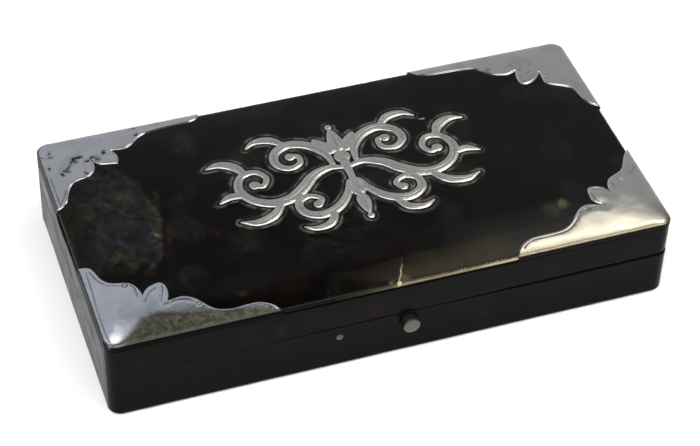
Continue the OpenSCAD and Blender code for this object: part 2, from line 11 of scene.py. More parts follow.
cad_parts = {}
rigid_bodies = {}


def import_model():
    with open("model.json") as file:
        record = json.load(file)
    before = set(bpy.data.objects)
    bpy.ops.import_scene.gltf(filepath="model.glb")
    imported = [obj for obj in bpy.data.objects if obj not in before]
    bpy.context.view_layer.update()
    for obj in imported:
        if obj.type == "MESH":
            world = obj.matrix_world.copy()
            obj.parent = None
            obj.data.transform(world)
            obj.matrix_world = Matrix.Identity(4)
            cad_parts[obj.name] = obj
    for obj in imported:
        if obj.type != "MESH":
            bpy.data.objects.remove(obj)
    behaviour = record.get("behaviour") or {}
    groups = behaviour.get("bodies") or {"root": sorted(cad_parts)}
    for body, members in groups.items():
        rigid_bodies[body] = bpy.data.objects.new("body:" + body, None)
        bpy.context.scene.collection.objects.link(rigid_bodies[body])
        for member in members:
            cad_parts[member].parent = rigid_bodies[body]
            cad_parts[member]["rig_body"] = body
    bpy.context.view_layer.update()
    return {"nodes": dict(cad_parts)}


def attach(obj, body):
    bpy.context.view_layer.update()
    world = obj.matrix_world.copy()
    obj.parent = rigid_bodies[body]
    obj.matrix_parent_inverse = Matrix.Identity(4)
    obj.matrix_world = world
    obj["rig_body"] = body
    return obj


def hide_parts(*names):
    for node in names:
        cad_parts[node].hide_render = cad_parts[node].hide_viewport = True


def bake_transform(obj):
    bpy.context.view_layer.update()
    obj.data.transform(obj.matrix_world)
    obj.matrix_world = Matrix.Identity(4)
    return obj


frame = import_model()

NODES = frame["nodes"]

# ------------------------------------------------------------------ sizes of the frame, mm
HL, HW = 75.0, 38.7
RIM, LIDZ, TOPZ = 14.0, 14.25, 23.2
CORNER_R, VENEER = 3.4, 0.8
PA, PB, PR = 74.6, 38.3, 3.0
PANEL_T, SILVER_T = 0.9, 0.35
AXIS_Y, AXIS_Z = 37.2, 14.125
BEVEL = math.tan(math.radians(50.5))
IX, IY = 70.0, 33.7
BOARD_Z = 3.6
BUTTON = (3.0, 10.8)
RIVET = (-15.5, 10.4)
SCROLL = (1.0, 3.0)
HINGES = (-44.0, 44.0)

# ------------------------------------------------------------------ camera
az, el, roll = math.radians(-20.043), math.radians(43.690), math.radians(1.907)
fw = Vector((-math.sin(az) * math.cos(el), math.cos(az) * math.cos(el), -math.sin(el)))
right = fw.cross(Vector((0, 0, 1))).normalized()
up = right.cross(fw)
r2 = right * math.cos(roll) + up * math.sin(roll)
u2 = -right * math.sin(roll) + up * math.cos(roll)
cam_data = bpy.data.cameras.new("camera")
cam_data.lens = 112.13
cam_data.sensor_width = 36.0
cam_data.shift_y = 0.0012
cam_data.clip_start = 0.02
cam_data.clip_end = 20.0
cam = bpy.data.objects.new("camera", cam_data)
bpy.context.scene.collection.objects.link(cam)
m = Matrix.Identity(4)
for i in range(3):
    m[i][0], m[i][1], m[i][2] = r2[i], u2[i], -fw[i]
m[0][3], m[1][3], m[2][3] = -0.14274, -0.39217, 0.40870
cam.matrix_world = m
bpy.context.scene.camera = cam


# ------------------------------------------------------------------ small maths
def catmull(points, n):
    p = np.asarray(points, float)
    out = []
    for i in range(len(p) - 1):
        a, b, c, d = p[max(i - 1, 0)], p[i], p[i + 1], p[min(i + 2, len(p) - 1)]
        for t in np.arange(n) / n:
            out.append(0.5 * (2 * b + (c - a) * t + (2 * a - 5 * b + 4 * c - d) * t * t
                              + (3 * b - a - 3 * c + d) * t ** 3))
    out.append(p[-1])
    return np.array(out)


def resample(points, step, closed=False):
    p = np.asarray(points, float)
    if closed:
        p = np.vstack([p, p[:1]])
    seg = np.linalg.norm(np.diff(p[:, :2], axis=0), axis=1)
    s = np.concatenate([[0], np.cumsum(seg)])
    n = max(2, int(round(s[-1] / step)))
    q = np.linspace(0, s[-1], n + 1)
    out = np.stack([np.interp(q, s, p[:, k]) for k in range(p.shape[1])], 1)
    return out[:-1] if closed else out


def seg_dist(P, line, closed=False, chunk=3000):
    """Distance of points to a polyline."""
    line = np.asarray(line, float)[:, :2]
    a = line if closed else line[:-1]
    b = np.roll(line, -1, 0) if closed else line[1:]
    d = b - a
    l2 = (d ** 2).sum(1) + 1e-12
    out = np.empty(len(P))
    for s in range(0, len(P), chunk):
        p = P[s:s + chunk, None, :] - a[None]
        t = np.clip((p * d).sum(2) / l2, 0, 1)
        q = p - t[..., None] * d
        out[s:s + chunk] = np.sqrt((q ** 2).sum(2).min(1))
    return out


def inside(P, loop, chunk=4000):
    loop = np.asarray(loop, float)
    x1, y1 = loop[:, 0], loop[:, 1]
    x2, y2 = np.roll(x1, -1), np.roll(y1, -1)
    out = np.empty(len(P), bool)
    for s in range(0, len(P), chunk):
        x, y = P[s:s + chunk, 0:1], P[s:s + chunk, 1:2]
        c = (y1 > y) != (y2 > y)
        xi = x1 + (y - y1) * (x2 - x1) / np.where(y2 == y1, 1e-12, y2 - y1)
        out[s:s + chunk] = ((c & (x < xi)).sum(1) % 2) == 1
    return out


def waves(P, size, seed, n=22):
    """Smooth band-limited noise of about unit spread, with features of the given size."""
    rng = np.random.RandomState(seed)
    P = np.asarray(P, float)
    out = np.zeros(len(P))
    for _ in range(n):
        k = rng.normal(size=P.shape[1])
        k *= 2 * math.pi / (size * rng.uniform(0.7, 1.9)) / np.linalg.norm(k)
        out += np.cos(P @ k + rng.uniform(0, 2 * math.pi))
    return out / math.sqrt(n / 2)


def smooth01(x):
    x = np.clip(x, 0, 1)
    return x * x * (3 - 2 * x)


def rr_sdf(x, y, a, b, r):
    qx, qy = np.abs(x) - (a - r), np.abs(y) - (b - r)
    return np.hypot(np.maximum(qx, 0), np.maximum(qy, 0)) + np.minimum(np.maximum(qx, qy), 0) - r


def rr_loop(a, b, r, step, arc=14):
    """Anticlockwise rounded rectangle."""
    out = []
    for k, (cx, cy) in enumerate([(a - r, b - r), (-(a - r), b - r), (-(a - r), -(b - r)), (a - r, -(b - r))]):
        for i in range(arc + 1):
            t = math.pi / 2 * (k + i / arc)
            out.append((cx + r * math.cos(t), cy + r * math.sin(t)))
        nxt = [(-(a - r), b), (-a, -(b - r)), (a - r, -b), (a, b - r)][k]
        p0, p1 = np.array(out[-1]), np.array(nxt)
        n = max(1, int(round(np.linalg.norm(p1 - p0) / step)))
        for i in range(1, n):
            out.append(tuple(p0 + (p1 - p0) * i / n))
    return np.array(out)


# ------------------------------------------------------------------ the cushion shape of the lid
PROFILE = np.array([[0, 0.5], [0.15, 0.78], [0.5, 1.02], [1.1, 1.2], [2.2, 1.42],
                    [4, 1.68], [6.2, 1.9], [9, 2.08], [13, 2.15]])


def pchip(t, px, py):
    h, d = np.diff(px), np.diff(py) / np.diff(px)
    m = np.zeros(len(px))
    for i in range(1, len(px) - 1):
        if d[i - 1] * d[i] > 0:
            w1, w2 = 2 * h[i] + h[i - 1], h[i] + 2 * h[i - 1]
            m[i] = (w1 + w2) / (w1 / d[i - 1] + w2 / d[i])
    m[0] = d[0] * 1.3
    m[-1] = 0
    t = np.clip(t, px[0], px[-1])
    i = np.clip(np.searchsorted(px, t) - 1, 0, len(px) - 2)
    u = (t - px[i]) / h[i]
    return ((2 * u ** 3 - 3 * u ** 2 + 1) * py[i] + (u ** 3 - 2 * u ** 2 + u) * h[i] * m[i]
            + (-2 * u ** 3 + 3 * u ** 2) * py[i + 1] + (u ** 3 - u ** 2) * h[i] * m[i + 1])


def inset(x, y, g=0.0, tmax=13.2):
    lo, hi = np.zeros(len(x)), np.full(len(x), tmax)
    for _ in range(20):
        mid = (lo + hi) / 2
        inner = rr_sdf(x, y, PA + g - mid, PB + g - mid, PR + g + 0.8 * mid) < 0
        lo, hi = np.where(inner, mid, lo), np.where(inner, hi, mid)
    return (lo + hi) / 2


def undulate(x, y):
    P = np.stack([x, y], 1)
    return 0.045 * waves(P, 34, 3) + 0.012 * waves(P, 9, 4)


def shell_z(x, y, g=0.0):
    t = inset(x, y, g)
    fade = smooth01((t - 0.4) / 3)
    return TOPZ + g + pchip(t, PROFILE[:, 0], PROFILE[:, 1]) + fade * undulate(x, y), t


# ------------------------------------------------------------------ meshes
def tri_patch(points, edges, keep):
    """Constrained triangulation of 2-D points; keep says which centroids stay. Returns points and triangles."""
    r = delaunay_2d_cdt([Vector((float(p[0]), float(p[1]))) for p in points],
                        [tuple(int(k) for k in e) for e in edges], [], 0, 1e-6, False)
    v = np.array([tuple(p) for p in r[0]])
    f = np.array([tuple(t) for t in r[2]], int)
    f = f[keep(v[f].mean(1))]
    area = 0.5 * np.abs(np.cross(v[f[:, 1]] - v[f[:, 0]], v[f[:, 2]] - v[f[:, 0]]))
    f = f[area > 1e-7]
    used = np.unique(f)
    back = np.full(len(v), -1)
    back[used] = np.arange(len(used))
    return v[used], back[f]


def thin_out(points, others, gap):
    """Drops the points that lie nearer than gap to any of the others."""
    if len(others) == 0 or len(points) == 0:
        return points
    cell = {}
    for p in others:
        cell.setdefault((int(p[0] // gap), int(p[1] // gap)), []).append(p)
    out = []
    for p in points:
        i, j = int(p[0] // gap), int(p[1] // gap)
        near = False
        for a in (-1, 0, 1):
            for b in (-1, 0, 1):
                for q in cell.get((i + a, j + b), ()):
                    if (q[0] - p[0]) ** 2 + (q[1] - p[1]) ** 2 < gap * gap:
                        near = True
                        break
                if near:
                    break
            if near:
                break
        if not near:
            out.append(p)
    return np.array(out).reshape(-1, 2)


def boundary_edges(f):
    e = np.vstack([f[:, [0, 1]], f[:, [1, 2]], f[:, [2, 0]]])
    key = np.sort(e, 1)
    _, inv, cnt = np.unique(key, axis=0, return_inverse=True, return_counts=True)
    return e[cnt[inv.ravel()] == 1]


def close_solid(v2, f, top3, v2b, fb, bot3):
    """Top patch, bottom patch with the same outline, and the walls between them."""
    key = {(round(float(p[0]), 4), round(float(p[1]), 4)): i for i, p in enumerate(v2b)}
    n = len(v2)
    quads = []
    for a, b in boundary_edges(f):
        ka = key.get((round(float(v2[a][0]), 4), round(float(v2[a][1]), 4)))
        kb = key.get((round(float(v2[b][0]), 4), round(float(v2[b][1]), 4)))
        if ka is None or kb is None:
            raise RuntimeError("outline mismatch")
        quads.append((b, a, n + ka, n + kb))
    verts = np.vstack([top3, bot3])
    faces = [tuple(t) for t in f] + [tuple(t[::-1] + n) for t in fb] + quads
    return verts, faces


def volume(v, faces):
    tri = np.array([(f[0], f[k], f[k + 1]) for f in faces for k in range(1, len(f) - 1)])
    return float(np.einsum("ij,ij->", v[tri[:, 0]], np.cross(v[tri[:, 1]], v[tri[:, 2]]))) / 6


def make(name, verts, faces, mat, body, node=(), sharp=32.0, attrs=None):
    """One mesh object, given in millimetres, that rides on a body and stands for nodes."""
    me = bpy.data.meshes.new(name)
    v = np.asarray(verts, float) * 0.001
    flip = volume(v, faces) < 0
    sizes = np.array([len(f) for f in faces])
    loops = np.fromiter((i for f in faces for i in (f[::-1] if flip else f)), int)
    me.vertices.add(len(v))
    me.vertices.foreach_set("co", v.astype(np.float32).ravel())
    me.loops.add(len(loops))
    me.loops.foreach_set("vertex_index", loops)
    me.polygons.add(len(sizes))
    me.polygons.foreach_set("loop_start", np.concatenate([[0], np.cumsum(sizes)[:-1]]))
    me.polygons.foreach_set("use_smooth", np.ones(len(sizes), bool))
    me.update(calc_edges=True)
    if me.validate(verbose=False):
        print("mesh", name, "had faults that validate() removed")
    me.set_sharp_from_angle(angle=math.radians(sharp))
    for key, val in (attrs or {}).items():
        at = me.attributes.new(key, "FLOAT", "POINT")
        at.data.foreach_set("value", np.asarray(val, np.float32))
    ob = bpy.data.objects.new(name, me)
    bpy.context.scene.collection.objects.link(ob)
    if mat is not None:
        me.materials.append(mat)
    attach(ob, body)
    if node:
        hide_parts(*([node] if isinstance(node, str) else node))
    return ob


# ------------------------------------------------------------------ materials
class Look:
    """A node material whose patterns are laid out in the object's own coordinates, in millimetres."""

    def __init__(self, name, metallic=0.0, specular=0.5, **plain):
        self.mat = bpy.data.materials.new(name)
        self.mat.use_nodes = True
        self.t = self.mat.node_tree
        self.b = self.t.nodes["Principled BSDF"]
        self.b.inputs["Metallic"].default_value = metallic
        self.b.inputs["Specular IOR Level"].default_value = specular
        for key, val in plain.items():
            self.b.inputs[key.replace("_", " ")].default_value = val
        tc = self.t.nodes.new("ShaderNodeTexCoord")
        mp = self.t.nodes.new("ShaderNodeMapping")
        mp.inputs["Scale"].default_value = (1000, 1000, 1000)
        self.t.links.new(tc.outputs["Object"], mp.inputs["Vector"])
        self.co = mp.outputs["Vector"]

    def put(self, socket, value):
        if isinstance(value, bpy.types.NodeSocket):
            self.t.links.new(value, socket)
        elif isinstance(value, (tuple, list)) and len(value) == 3 and len(socket.default_value) == 4:
            socket.default_value = (*value, 1.0)
        else:
            socket.default_value = value

    def stretch(self, x, y, z, turn=(0, 0, 0)):
        mp = self.t.nodes.new("ShaderNodeMapping")
        mp.inputs["Scale"].default_value = (x, y, z)
        mp.inputs["Rotation"].default_value = tuple(math.radians(a) for a in turn)
        self.t.links.new(self.co, mp.inputs["Vector"])
        return mp.outputs["Vector"]

    def noise(self, size, detail=2.0, rough=0.5, twist=0.0, co=None, w=None):
        n = self.t.nodes.new("ShaderNodeTexNoise")
        if w is not None:
            n.noise_dimensions = "4D"
            n.inputs["W"].default_value = w
        self.t.links.new(co or self.co, n.inputs["Vector"])
        n.inputs["Scale"].default_value = 1.0 / size
        n.inputs["Detail"].default_value = detail
        n.inputs["Roughness"].default_value = rough
        n.inputs["Distortion"].default_value = twist
        return n.outputs["Fac"]

    def cells(self, size, feature="F1", co=None, out="Distance", jitter=1.0):
        n = self.t.nodes.new("ShaderNodeTexVoronoi")
        n.feature = feature
        self.t.links.new(co or self.co, n.inputs["Vector"])
        n.inputs["Scale"].default_value = 1.0 / size
        n.inputs["Randomness"].default_value = jitter
        return n.outputs[out]

    def wave(self, size, co=None, twist=0.0, detail=0.0, direction="X", shape="SIN"):
        n = self.t.nodes.new("ShaderNodeTexWave")
        n.wave_type = "BANDS"
        n.bands_direction = direction
        n.wave_profile = shape
        self.t.links.new(co or self.co, n.inputs["Vector"])
        n.inputs["Scale"].default_value = 0.314159 / size
        n.inputs["Distortion"].default_value = twist
        n.inputs["Detail"].default_value = detail
        return n.outputs["Fac"]

    def attr(self, name):
        n = self.t.nodes.new("ShaderNodeAttribute")
        n.attribute_name = name
        return n.outputs["Fac"]

    def math(self, op, a, b=0.0, c=0.0):
        n = self.t.nodes.new("ShaderNodeMath")
        n.operation = op
        self.put(n.inputs[0], a)
        self.put(n.inputs[1], b)
        if op in ("MULTIPLY_ADD", "SMOOTH_MIN", "SMOOTH_MAX"):
            self.put(n.inputs[2], c)
        return n.outputs[0]

    def band(self, value, lo, hi, to0=0.0, to1=1.0, smooth=True):
        n = self.t.nodes.new("ShaderNodeMapRange")
        n.interpolation_type = "SMOOTHSTEP" if smooth else "LINEAR"
        self.put(n.inputs["Value"], value)
        n.inputs["From Min"].default_value = lo
        n.inputs["From Max"].default_value = hi
        n.inputs["To Min"].default_value = to0
        n.inputs["To Max"].default_value = to1
        return n.outputs["Result"]

    def mix(self, fac, a, b, kind="MIX"):
        n = self.t.nodes.new("ShaderNodeMix")
        n.data_type = "RGBA"
        n.blend_type = kind
        self.put(n.inputs[0], fac)
        self.put(n.inputs[6], a)
        self.put(n.inputs[7], b)
        return n.outputs[2]

    def ramp(self, value, *stops):
        n = self.t.nodes.new("ShaderNodeValToRGB")
        self.put(n.inputs["Fac"], value)
        e = n.color_ramp.elements
        while len(e) < len(stops):
            e.new(0.5)
        for k, (pos, col) in enumerate(stops):
            e[k].position = pos
            e[k].color = (*col, 1.0)
        return n.outputs["Color"]

    def bump(self, height, distance, strength=1.0, under=None):
        n = self.t.nodes.new("ShaderNodeBump")
        n.inputs["Strength"].default_value = strength
        n.inputs["Distance"].default_value = distance * 0.001
        self.put(n.inputs["Height"], height)
        if under is not None:
            self.t.links.new(under, n.inputs["Normal"])
        return n.outputs["Normal"]

    def done(self, color=None, rough=None, normal=None, **more):
        for key, val in dict(Base_Color=color, Roughness=rough, Normal=normal, **more).items():
            if val is not None:
                self.put(self.b.inputs[key.replace("_", " ")], val)
        return self.mat


def make_shell(name, specular, base_rough, top, depth=1.0, sheen_colour=(0.0056, 0.0053, 0.0052), ior=1.5):
    """Blackish tortoiseshell: smoky brown clouds, a few dim ember-red and amber flecks, satin wear and hair scratches,
    with painted light as well: a painted sheen, painted shade in gaps, and on the top painted glows and highlights.
    """
    k = Look(name, specular=specular)
    k.b.inputs["IOR"].default_value = ior
    cloud = k.noise(17.0, 3.0, 0.55, 0.7)
    smoke = k.noise(5.5, 3.0, 0.6, 0.4, w=2.3)
    flecks = k.noise(4.6, 2.0, 0.5, 0.9, w=7.1)
    where = k.noise(21.0, 1.0, 0.5, 0.0, w=4.0)
    shades = [(0.0011, 0.0010, 0.0011), (0.0021, 0.0016, 0.0015), (0.0056, 0.0032, 0.0024)]
    shades = [tuple(depth * c for c in q) for q in shades]
    col = k.ramp(cloud, (0.30, shades[0]), (0.55, shades[1]), (0.74, shades[2]))
    col = k.mix(k.band(smoke, 0.50, 0.78, 0.0, 0.40), col, (0.0062 * depth, 0.0046 * depth, 0.0038 * depth))
    ember = k.math("MULTIPLY", k.band(flecks, 0.64, 0.78, 0.0, 0.55), k.band(where, 0.50, 0.64))
    col = k.mix(ember, col, (0.0155, 0.0034, 0.0021))
    amber = k.math("MULTIPLY", k.band(flecks, 0.75, 0.82, 0.0, 0.6), k.band(where, 0.56, 0.66))
    col = k.mix(amber, col, (0.046, 0.0135, 0.0036))
    grain = k.noise(1.6, 3.0, 0.65)
    spots = k.math("MULTIPLY", k.attr("amber"), k.band(grain, 0.34, 0.62, 0.20, 1.0))
    col = k.mix(spots, col, (0.062, 0.024, 0.0070))
    reds = k.math("MULTIPLY", k.attr("ember"), k.band(grain, 0.30, 0.64, 0.15, 1.0))
    col = k.mix(reds, col, (0.0200, 0.0058, 0.0040))
    hair = k.noise(1.0, 2.0, 0.5, 0.0, co=k.stretch(0.10, 1.9, 1.0, (0, 0, 24)))
    hair2 = k.noise(1.0, 2.0, 0.5, 0.0, co=k.stretch(1.7, 0.09, 1.0, (0, 0, -11)))
    scratch = k.math("ADD", k.band(hair, 0.66, 0.74), k.band(hair2, 0.68, 0.76))
    rough = k.math("MULTIPLY_ADD", k.band(k.noise(9.0, 4.0, 0.6, 0.3, w=9.0), 0.35, 0.70), 0.12, base_rough)
    rough = k.math("MULTIPLY_ADD", scratch, 0.10, rough)
    # painted sheen: a lighter veil of colour standing in for reflected light
    haze = k.math("MULTIPLY", k.attr("haze"), k.band(k.noise(12.0, 3.0, 0.6, 0.6, w=11.0), 0.25, 0.75, 0.75, 1.15))
    col = k.mix(haze, col, sheen_colour)
    # gap: painted shade, a near-black colour where shade falls between parts
    gap = k.attr("gap")
    col = k.mix(gap, col, (0.0004, 0.0004, 0.0004))
    rough = k.math("MULTIPLY_ADD", gap, 0.7, rough)
    if top:
        worn = k.attr("worn")
        dust = k.band(k.noise(4.6, 4.0, 0.62, 2.2, w=1.0), 0.38, 0.70)
        swirl = k.band(k.noise(10.0, 3.0, 0.6, 2.8, w=15.0), 0.36, 0.62, 0.40, 1.0)
        green = k.band(k.noise(14.0, 2.0, 0.5, 1.0, w=5.5), 0.42, 0.60)
        tone = k.mix(green, (0.0160, 0.0160, 0.0185), (0.0265, 0.0262, 0.0165))
        amount = k.math("MULTIPLY", k.math("MULTIPLY", worn, swirl), k.math("MULTIPLY_ADD", dust, 0.55, 0.45))
        col = k.mix(amount, col, tone)
        rough = k.math("MULTIPLY_ADD", worn, 0.15, rough)
        # painted highlight: a pale line just outside the ornament, where the raised ridge of shell catches the light
        halo = k.attr("halo")
        col = k.mix(k.math("MULTIPLY", halo, k.band(grain, 0.30, 0.62, 0.35, 1.0)), col, (0.125, 0.118, 0.104))
        # painted glow: a lighter patch on the front right of the panel, standing in for a broad reflected glow
        col = k.mix(k.attr("mist"), col, (0.0240, 0.0236, 0.0226))
        col = k.mix(k.attr("trace"), col, (0.060, 0.061, 0.056))
        col = k.mix(k.math("MULTIPLY", k.attr("moss"), k.band(grain, 0.25, 0.65, 0.45, 1.0)), col, (0.082, 0.086, 0.055))
        # warm: a painted warm glow right of the crack along the front, standing in for a reflection, and a warm line
        # along the edge of the worn patch
        warm = k.attr("warm")
        col = k.mix(k.math("MULTIPLY", warm, k.band(smoke, 0.25, 0.75, 0.45, 1.0)), col, (0.030, 0.0235, 0.0095))
        # pale: a pale line along the crack and a few pale specks, and the painted highlight along the front lip of the
        # panel (lip_light)
        pale = k.attr("pale")
        col = k.mix(pale, col, (0.50, 0.43, 0.26))
    bump = k.bump(k.noise(2.6, 3.0, 0.5, 0.0, w=3.0), 0.016, 0.45)
    bump = k.bump(k.math("MULTIPLY", scratch, -1.0), 0.006, 0.5, under=bump)
    return k.done(col, rough, bump)


def make_silver(name, tint, base_rough, specks=1.0, rim=((0.095, 0.095, 0.092), (0.030, 0.029, 0.028))):
    """Worn silver: softly clouded, pitted with dark specks, blackened in its cut lines, olive where tarnished. Painted
    light too: on the front left slope the olive stands in for a dark reflection, the rolled rim and outward wall are
    painted dark, the front right slope is painted darker and warmer to shade its reflected glow, and a painted
    highlight sits at the front left corner.
    """
    k = Look(name, metallic=1.0)
    cloud = k.noise(13.0, 3.0, 0.55, 0.5)
    col = k.ramp(cloud, (0.32, tuple(0.90 * c for c in tint)), (0.52, tint), (0.75, tuple(min(1, 1.04 * c) for c in tint)))
    warm = k.band(k.noise(13.0, 2.0, 0.5, 0.6, w=3.3), 0.55, 0.78, 0.0, 0.30)
    col = k.mix(warm, col, (tint[0] * 0.97, tint[1] * 0.92, tint[2] * 0.80))
    # olive where tarnished; on the front left slope the same olive is a painted dark reflection
    shade = k.attr("shade")
    speck = k.band(k.noise(1.5, 3.0, 0.62, 0.6, w=12.0), 0.40, 0.66)
    olive = k.mix(speck, (0.118, 0.121, 0.100), (0.275, 0.268, 0.190))
    olive = k.mix(k.band(k.noise(5.0, 2.0, 0.5, 0.8, w=21.0), 0.50, 0.66, 0.0, 0.6), olive, (0.150, 0.120, 0.125))
    col = k.mix(shade, col, olive)
    # tan: painted shade, darker warmer silver on the front right slope that shapes its reflected glow
    col = k.mix(k.attr("tan"), col, (0.285, 0.27, 0.222))
    # lip: the rolled rim and outward wall take the rim colours, painted shade in place of a dark reflection
    lip = k.attr("lip")
    col = k.mix(k.band(lip, 0.0, 0.55), col, rim[0])
    col = k.mix(k.band(lip, 0.72, 1.0), col, rim[1])
    pits = k.band(k.noise(0.75, 3.0, 0.66, 0.2, w=1.7), 0.665, 0.70)
    where = k.band(k.noise(7.5, 3.0, 0.6, 0.8, w=6.1), 0.52, 0.68)
    dark = k.math("MULTIPLY", k.math("MULTIPLY", pits, where), specks)
    marks = k.band(k.noise(1.5, 3.0, 0.62, 0.7, co=k.stretch(0.55, 1.25, 1.0, (0, 0, 38)), w=8.8), 0.50, 0.56)
    dark = k.math("MAXIMUM", dark, k.math("MULTIPLY", k.band(k.attr("dirt"), 0.15, 0.75), marks))
    dark = k.math("MAXIMUM", dark, k.attr("groove"))
    col = k.mix(dark, col, (0.026, 0.025, 0.024))
    # painted highlight: near-white colour on the front left corner bulge
    shine = k.attr("shine")
    col = k.mix(shine, col, (0.98, 0.98, 1.0))
    hair = k.noise(1.0, 2.0, 0.5, 0.0, co=k.stretch(0.11, 2.6, 1.0, (0, 0, 33)))
    hair2 = k.noise(1.0, 2.0, 0.5, 0.0, co=k.stretch(0.13, 3.1, 1.0, (0, 0, -48)))
    scratch = k.math("ADD", k.band(hair, 0.64, 0.74), k.band(hair2, 0.65, 0.75))
    rough = k.math("MULTIPLY_ADD", k.band(cloud, 0.3, 0.75), -0.05, base_rough + 0.05)
    rough = k.math("MULTIPLY_ADD", scratch, 0.05, rough)
    rough = k.math("MULTIPLY_ADD", k.math("MAXIMUM", dark, lip), 0.30, rough)
    rough = k.math("MULTIPLY_ADD", shine, 0.14, rough)
    rough = k.math("MULTIPLY_ADD", shade, 0.20, rough)
    bump = k.bump(k.noise(2.2, 3.0, 0.55, 0.2, w=2.0), 0.008, 0.4)
    bump = k.bump(k.math("SUBTRACT", 0.0, k.math("ADD", scratch, k.math("MULTIPLY", dark, 2.0))), 0.006, 0.5, under=bump)
    bump = k.bump(k.math("MULTIPLY", shade, speck), 0.035, 0.5, under=bump)
    return k.done(col, rough, bump)


def make_metal(name, tint, dull, base_rough, size=2.0, specular=0.5):
    """Aged brass or steel: brighter and darker clouds, fine filing marks and small stains."""
    k = Look(name, metallic=1.0, specular=specular)
    cloud = k.noise(size * 2.2, 4.0, 0.65, 0.4)
    col = k.ramp(cloud, (0.30, dull), (0.55, tint), (0.78, tuple(min(1.0, 1.12 * c) for c in tint)))
    stain = k.band(k.noise(size * 0.45, 3.0, 0.7, 0.3, w=4.4), 0.60, 0.70, 0.0, 0.75)
    col = k.mix(stain, col, tuple(0.35 * c for c in dull))
    file_marks = k.noise(1.0, 2.0, 0.5, 0.0, co=k.stretch(0.5, 7.0, 5.0))
    rough = k.math("MULTIPLY_ADD", k.band(file_marks, 0.3, 0.7), 0.12, base_rough)
    rough = k.math("MULTIPLY_ADD", stain, 0.2, rough)
    bump = k.bump(file_marks, 0.010, 0.5)
    bump = k.bump(cloud, 0.03, 0.3, under=bump)
    return k.done(col, rough, bump)


def make_wood(name, pale, dark, along="X"):
    """Stained close-grained hardwood: long growth lines, short pores, waxed, darker where handled."""
    k = Look(name, specular=0.35)
    far, near = (0.07, 1.0), (0.02, 2.2)
    s1 = {"X": (far[0], far[1], far[1]), "Y": (far[1], far[0], far[1])}[along]
    s2 = {"X": (near[0] * 8, near[1], near[1]), "Y": (near[1], near[0] * 8, near[1])}[along]
    rings = k.noise(2.4, 4.0, 0.6, 0.35, co=k.stretch(*s1))
    pores = k.noise(0.75, 2.0, 0.5, 0.0, co=k.stretch(*s2), w=2.0)
    col = k.ramp(rings, (0.30, dark), (0.52, tuple((a + b) / 2 for a, b in zip(pale, dark))), (0.72, pale))
    pore = k.band(pores, 0.60, 0.70)
    col = k.mix(pore, col, tuple(0.35 * c for c in dark))
    col = k.mix(k.band(k.noise(15.0, 3.0, 0.6), 0.40, 0.75, 0.0, 0.45), col, tuple(0.6 * c for c in dark))
    rough = k.math("MULTIPLY_ADD", pore, 0.25, k.band(rings, 0.3, 0.7, 0.42, 0.55))
    bump = k.bump(k.math("MULTIPLY", pore, -1.0), 0.03, 0.7)
    bump = k.bump(rings, 0.03, 0.4, under=bump)
    return k.done(col, rough, bump)


def make_velvet(name, deep, high, pile=0.22):
    """Short-pile velvet: fine tufts, a nap brushed into paler and deeper drifts, a soft sheen."""
    k = Look(name, specular=0.12, Sheen_Weight=0.55, Sheen_Roughness=0.42, Sheen_Tint=(min(1, high[0] * 2.4 + 0.25), min(1, high[1] * 2.4 + 0.18), min(1, high[2] * 2.4 + 0.20), 1.0))
    tuft = k.cells(pile, "F1")
    drift = k.noise(9.0, 3.0, 0.6, 0.9)
    brush = k.noise(2.4, 3.0, 0.6, 0.4, co=k.stretch(0.45, 1.6, 1.0, (0, 0, 28)), w=3.0)
    nap = k.math("MULTIPLY_ADD", brush, 0.45, k.math("MULTIPLY", drift, 0.62))
    col = k.ramp(nap, (0.34, deep), (0.52, tuple((a + b) / 2 for a, b in zip(deep, high))), (0.70, high))
    col = k.mix(k.band(tuft, 0.25, 0.75, 0.0, 0.45), col, tuple(0.42 * c for c in deep))
    worn = k.band(k.noise(15.0, 3.0, 0.6, 0.5, w=6.0), 0.56, 0.74, 0.0, 0.35)
    col = k.mix(worn, col, (high[0] * 1.15 + 0.03, high[1] + 0.045, high[2] + 0.03))
    rough = k.band(tuft, 0.0, 0.8, 0.82, 0.97)
    bump = k.bump(k.math("MULTIPLY", tuft, -1.0), 0.07, 0.85)
    bump = k.bump(brush, 0.14, 0.5, under=bump)
    return k.done(col, rough, bump)


def make_weave(name, warp, weft, thread, sheen, specular, rough0, slub=0.5, turn=0.0, satin=False):
    """Woven cloth seen close: over-and-under threads with slubs, faded and slightly soiled in drifts."""
    k = Look(name, specular=specular, Sheen_Weight=sheen, Sheen_Roughness=0.35)
    co = k.stretch(1, 1, 1, (0, 0, turn))
    u = k.wave(thread, co=co, twist=0.35, detail=1.0, direction="X")
    v = k.wave(thread * (3.2 if satin else 1.0), co=co, twist=0.35, detail=1.0, direction="Y")
    if satin:
        cloth = k.math("MULTIPLY_ADD", v, 0.3, k.math("MULTIPLY", u, 0.7))
    else:
        both = k.math("MULTIPLY", k.math("SUBTRACT", u, 0.5), k.math("SUBTRACT", v, 0.5))
        cloth = k.math("MULTIPLY_ADD", both, 2.0, 0.5)
    col = k.mix(k.band(cloth, 0.2, 0.8), weft, warp)
    fade = k.noise(16.0, 4.0, 0.6, 0.6, w=1.0)
    col = k.mix(k.band(fade, 0.46, 0.74, 0.0, 0.40), col, tuple(min(1, 1.18 * c + 0.01) for c in warp))
    soil = k.band(k.noise(6.0, 4.0, 0.7, 0.7, w=5.0), 0.56, 0.74, 0.0, slub)
    col = k.mix(soil, col, tuple(0.5 * c for c in weft))
    rough = k.band(cloth, 0.0, 1.0, rough0 + 0.12, rough0 - 0.05)
    bump = k.bump(cloth, thread * 0.28, 0.6)
    bump = k.bump(k.noise(3.5, 2.0, 0.5, 0.3), 0.10, 0.3, under=bump)
    return k.done(col, rough, bump)


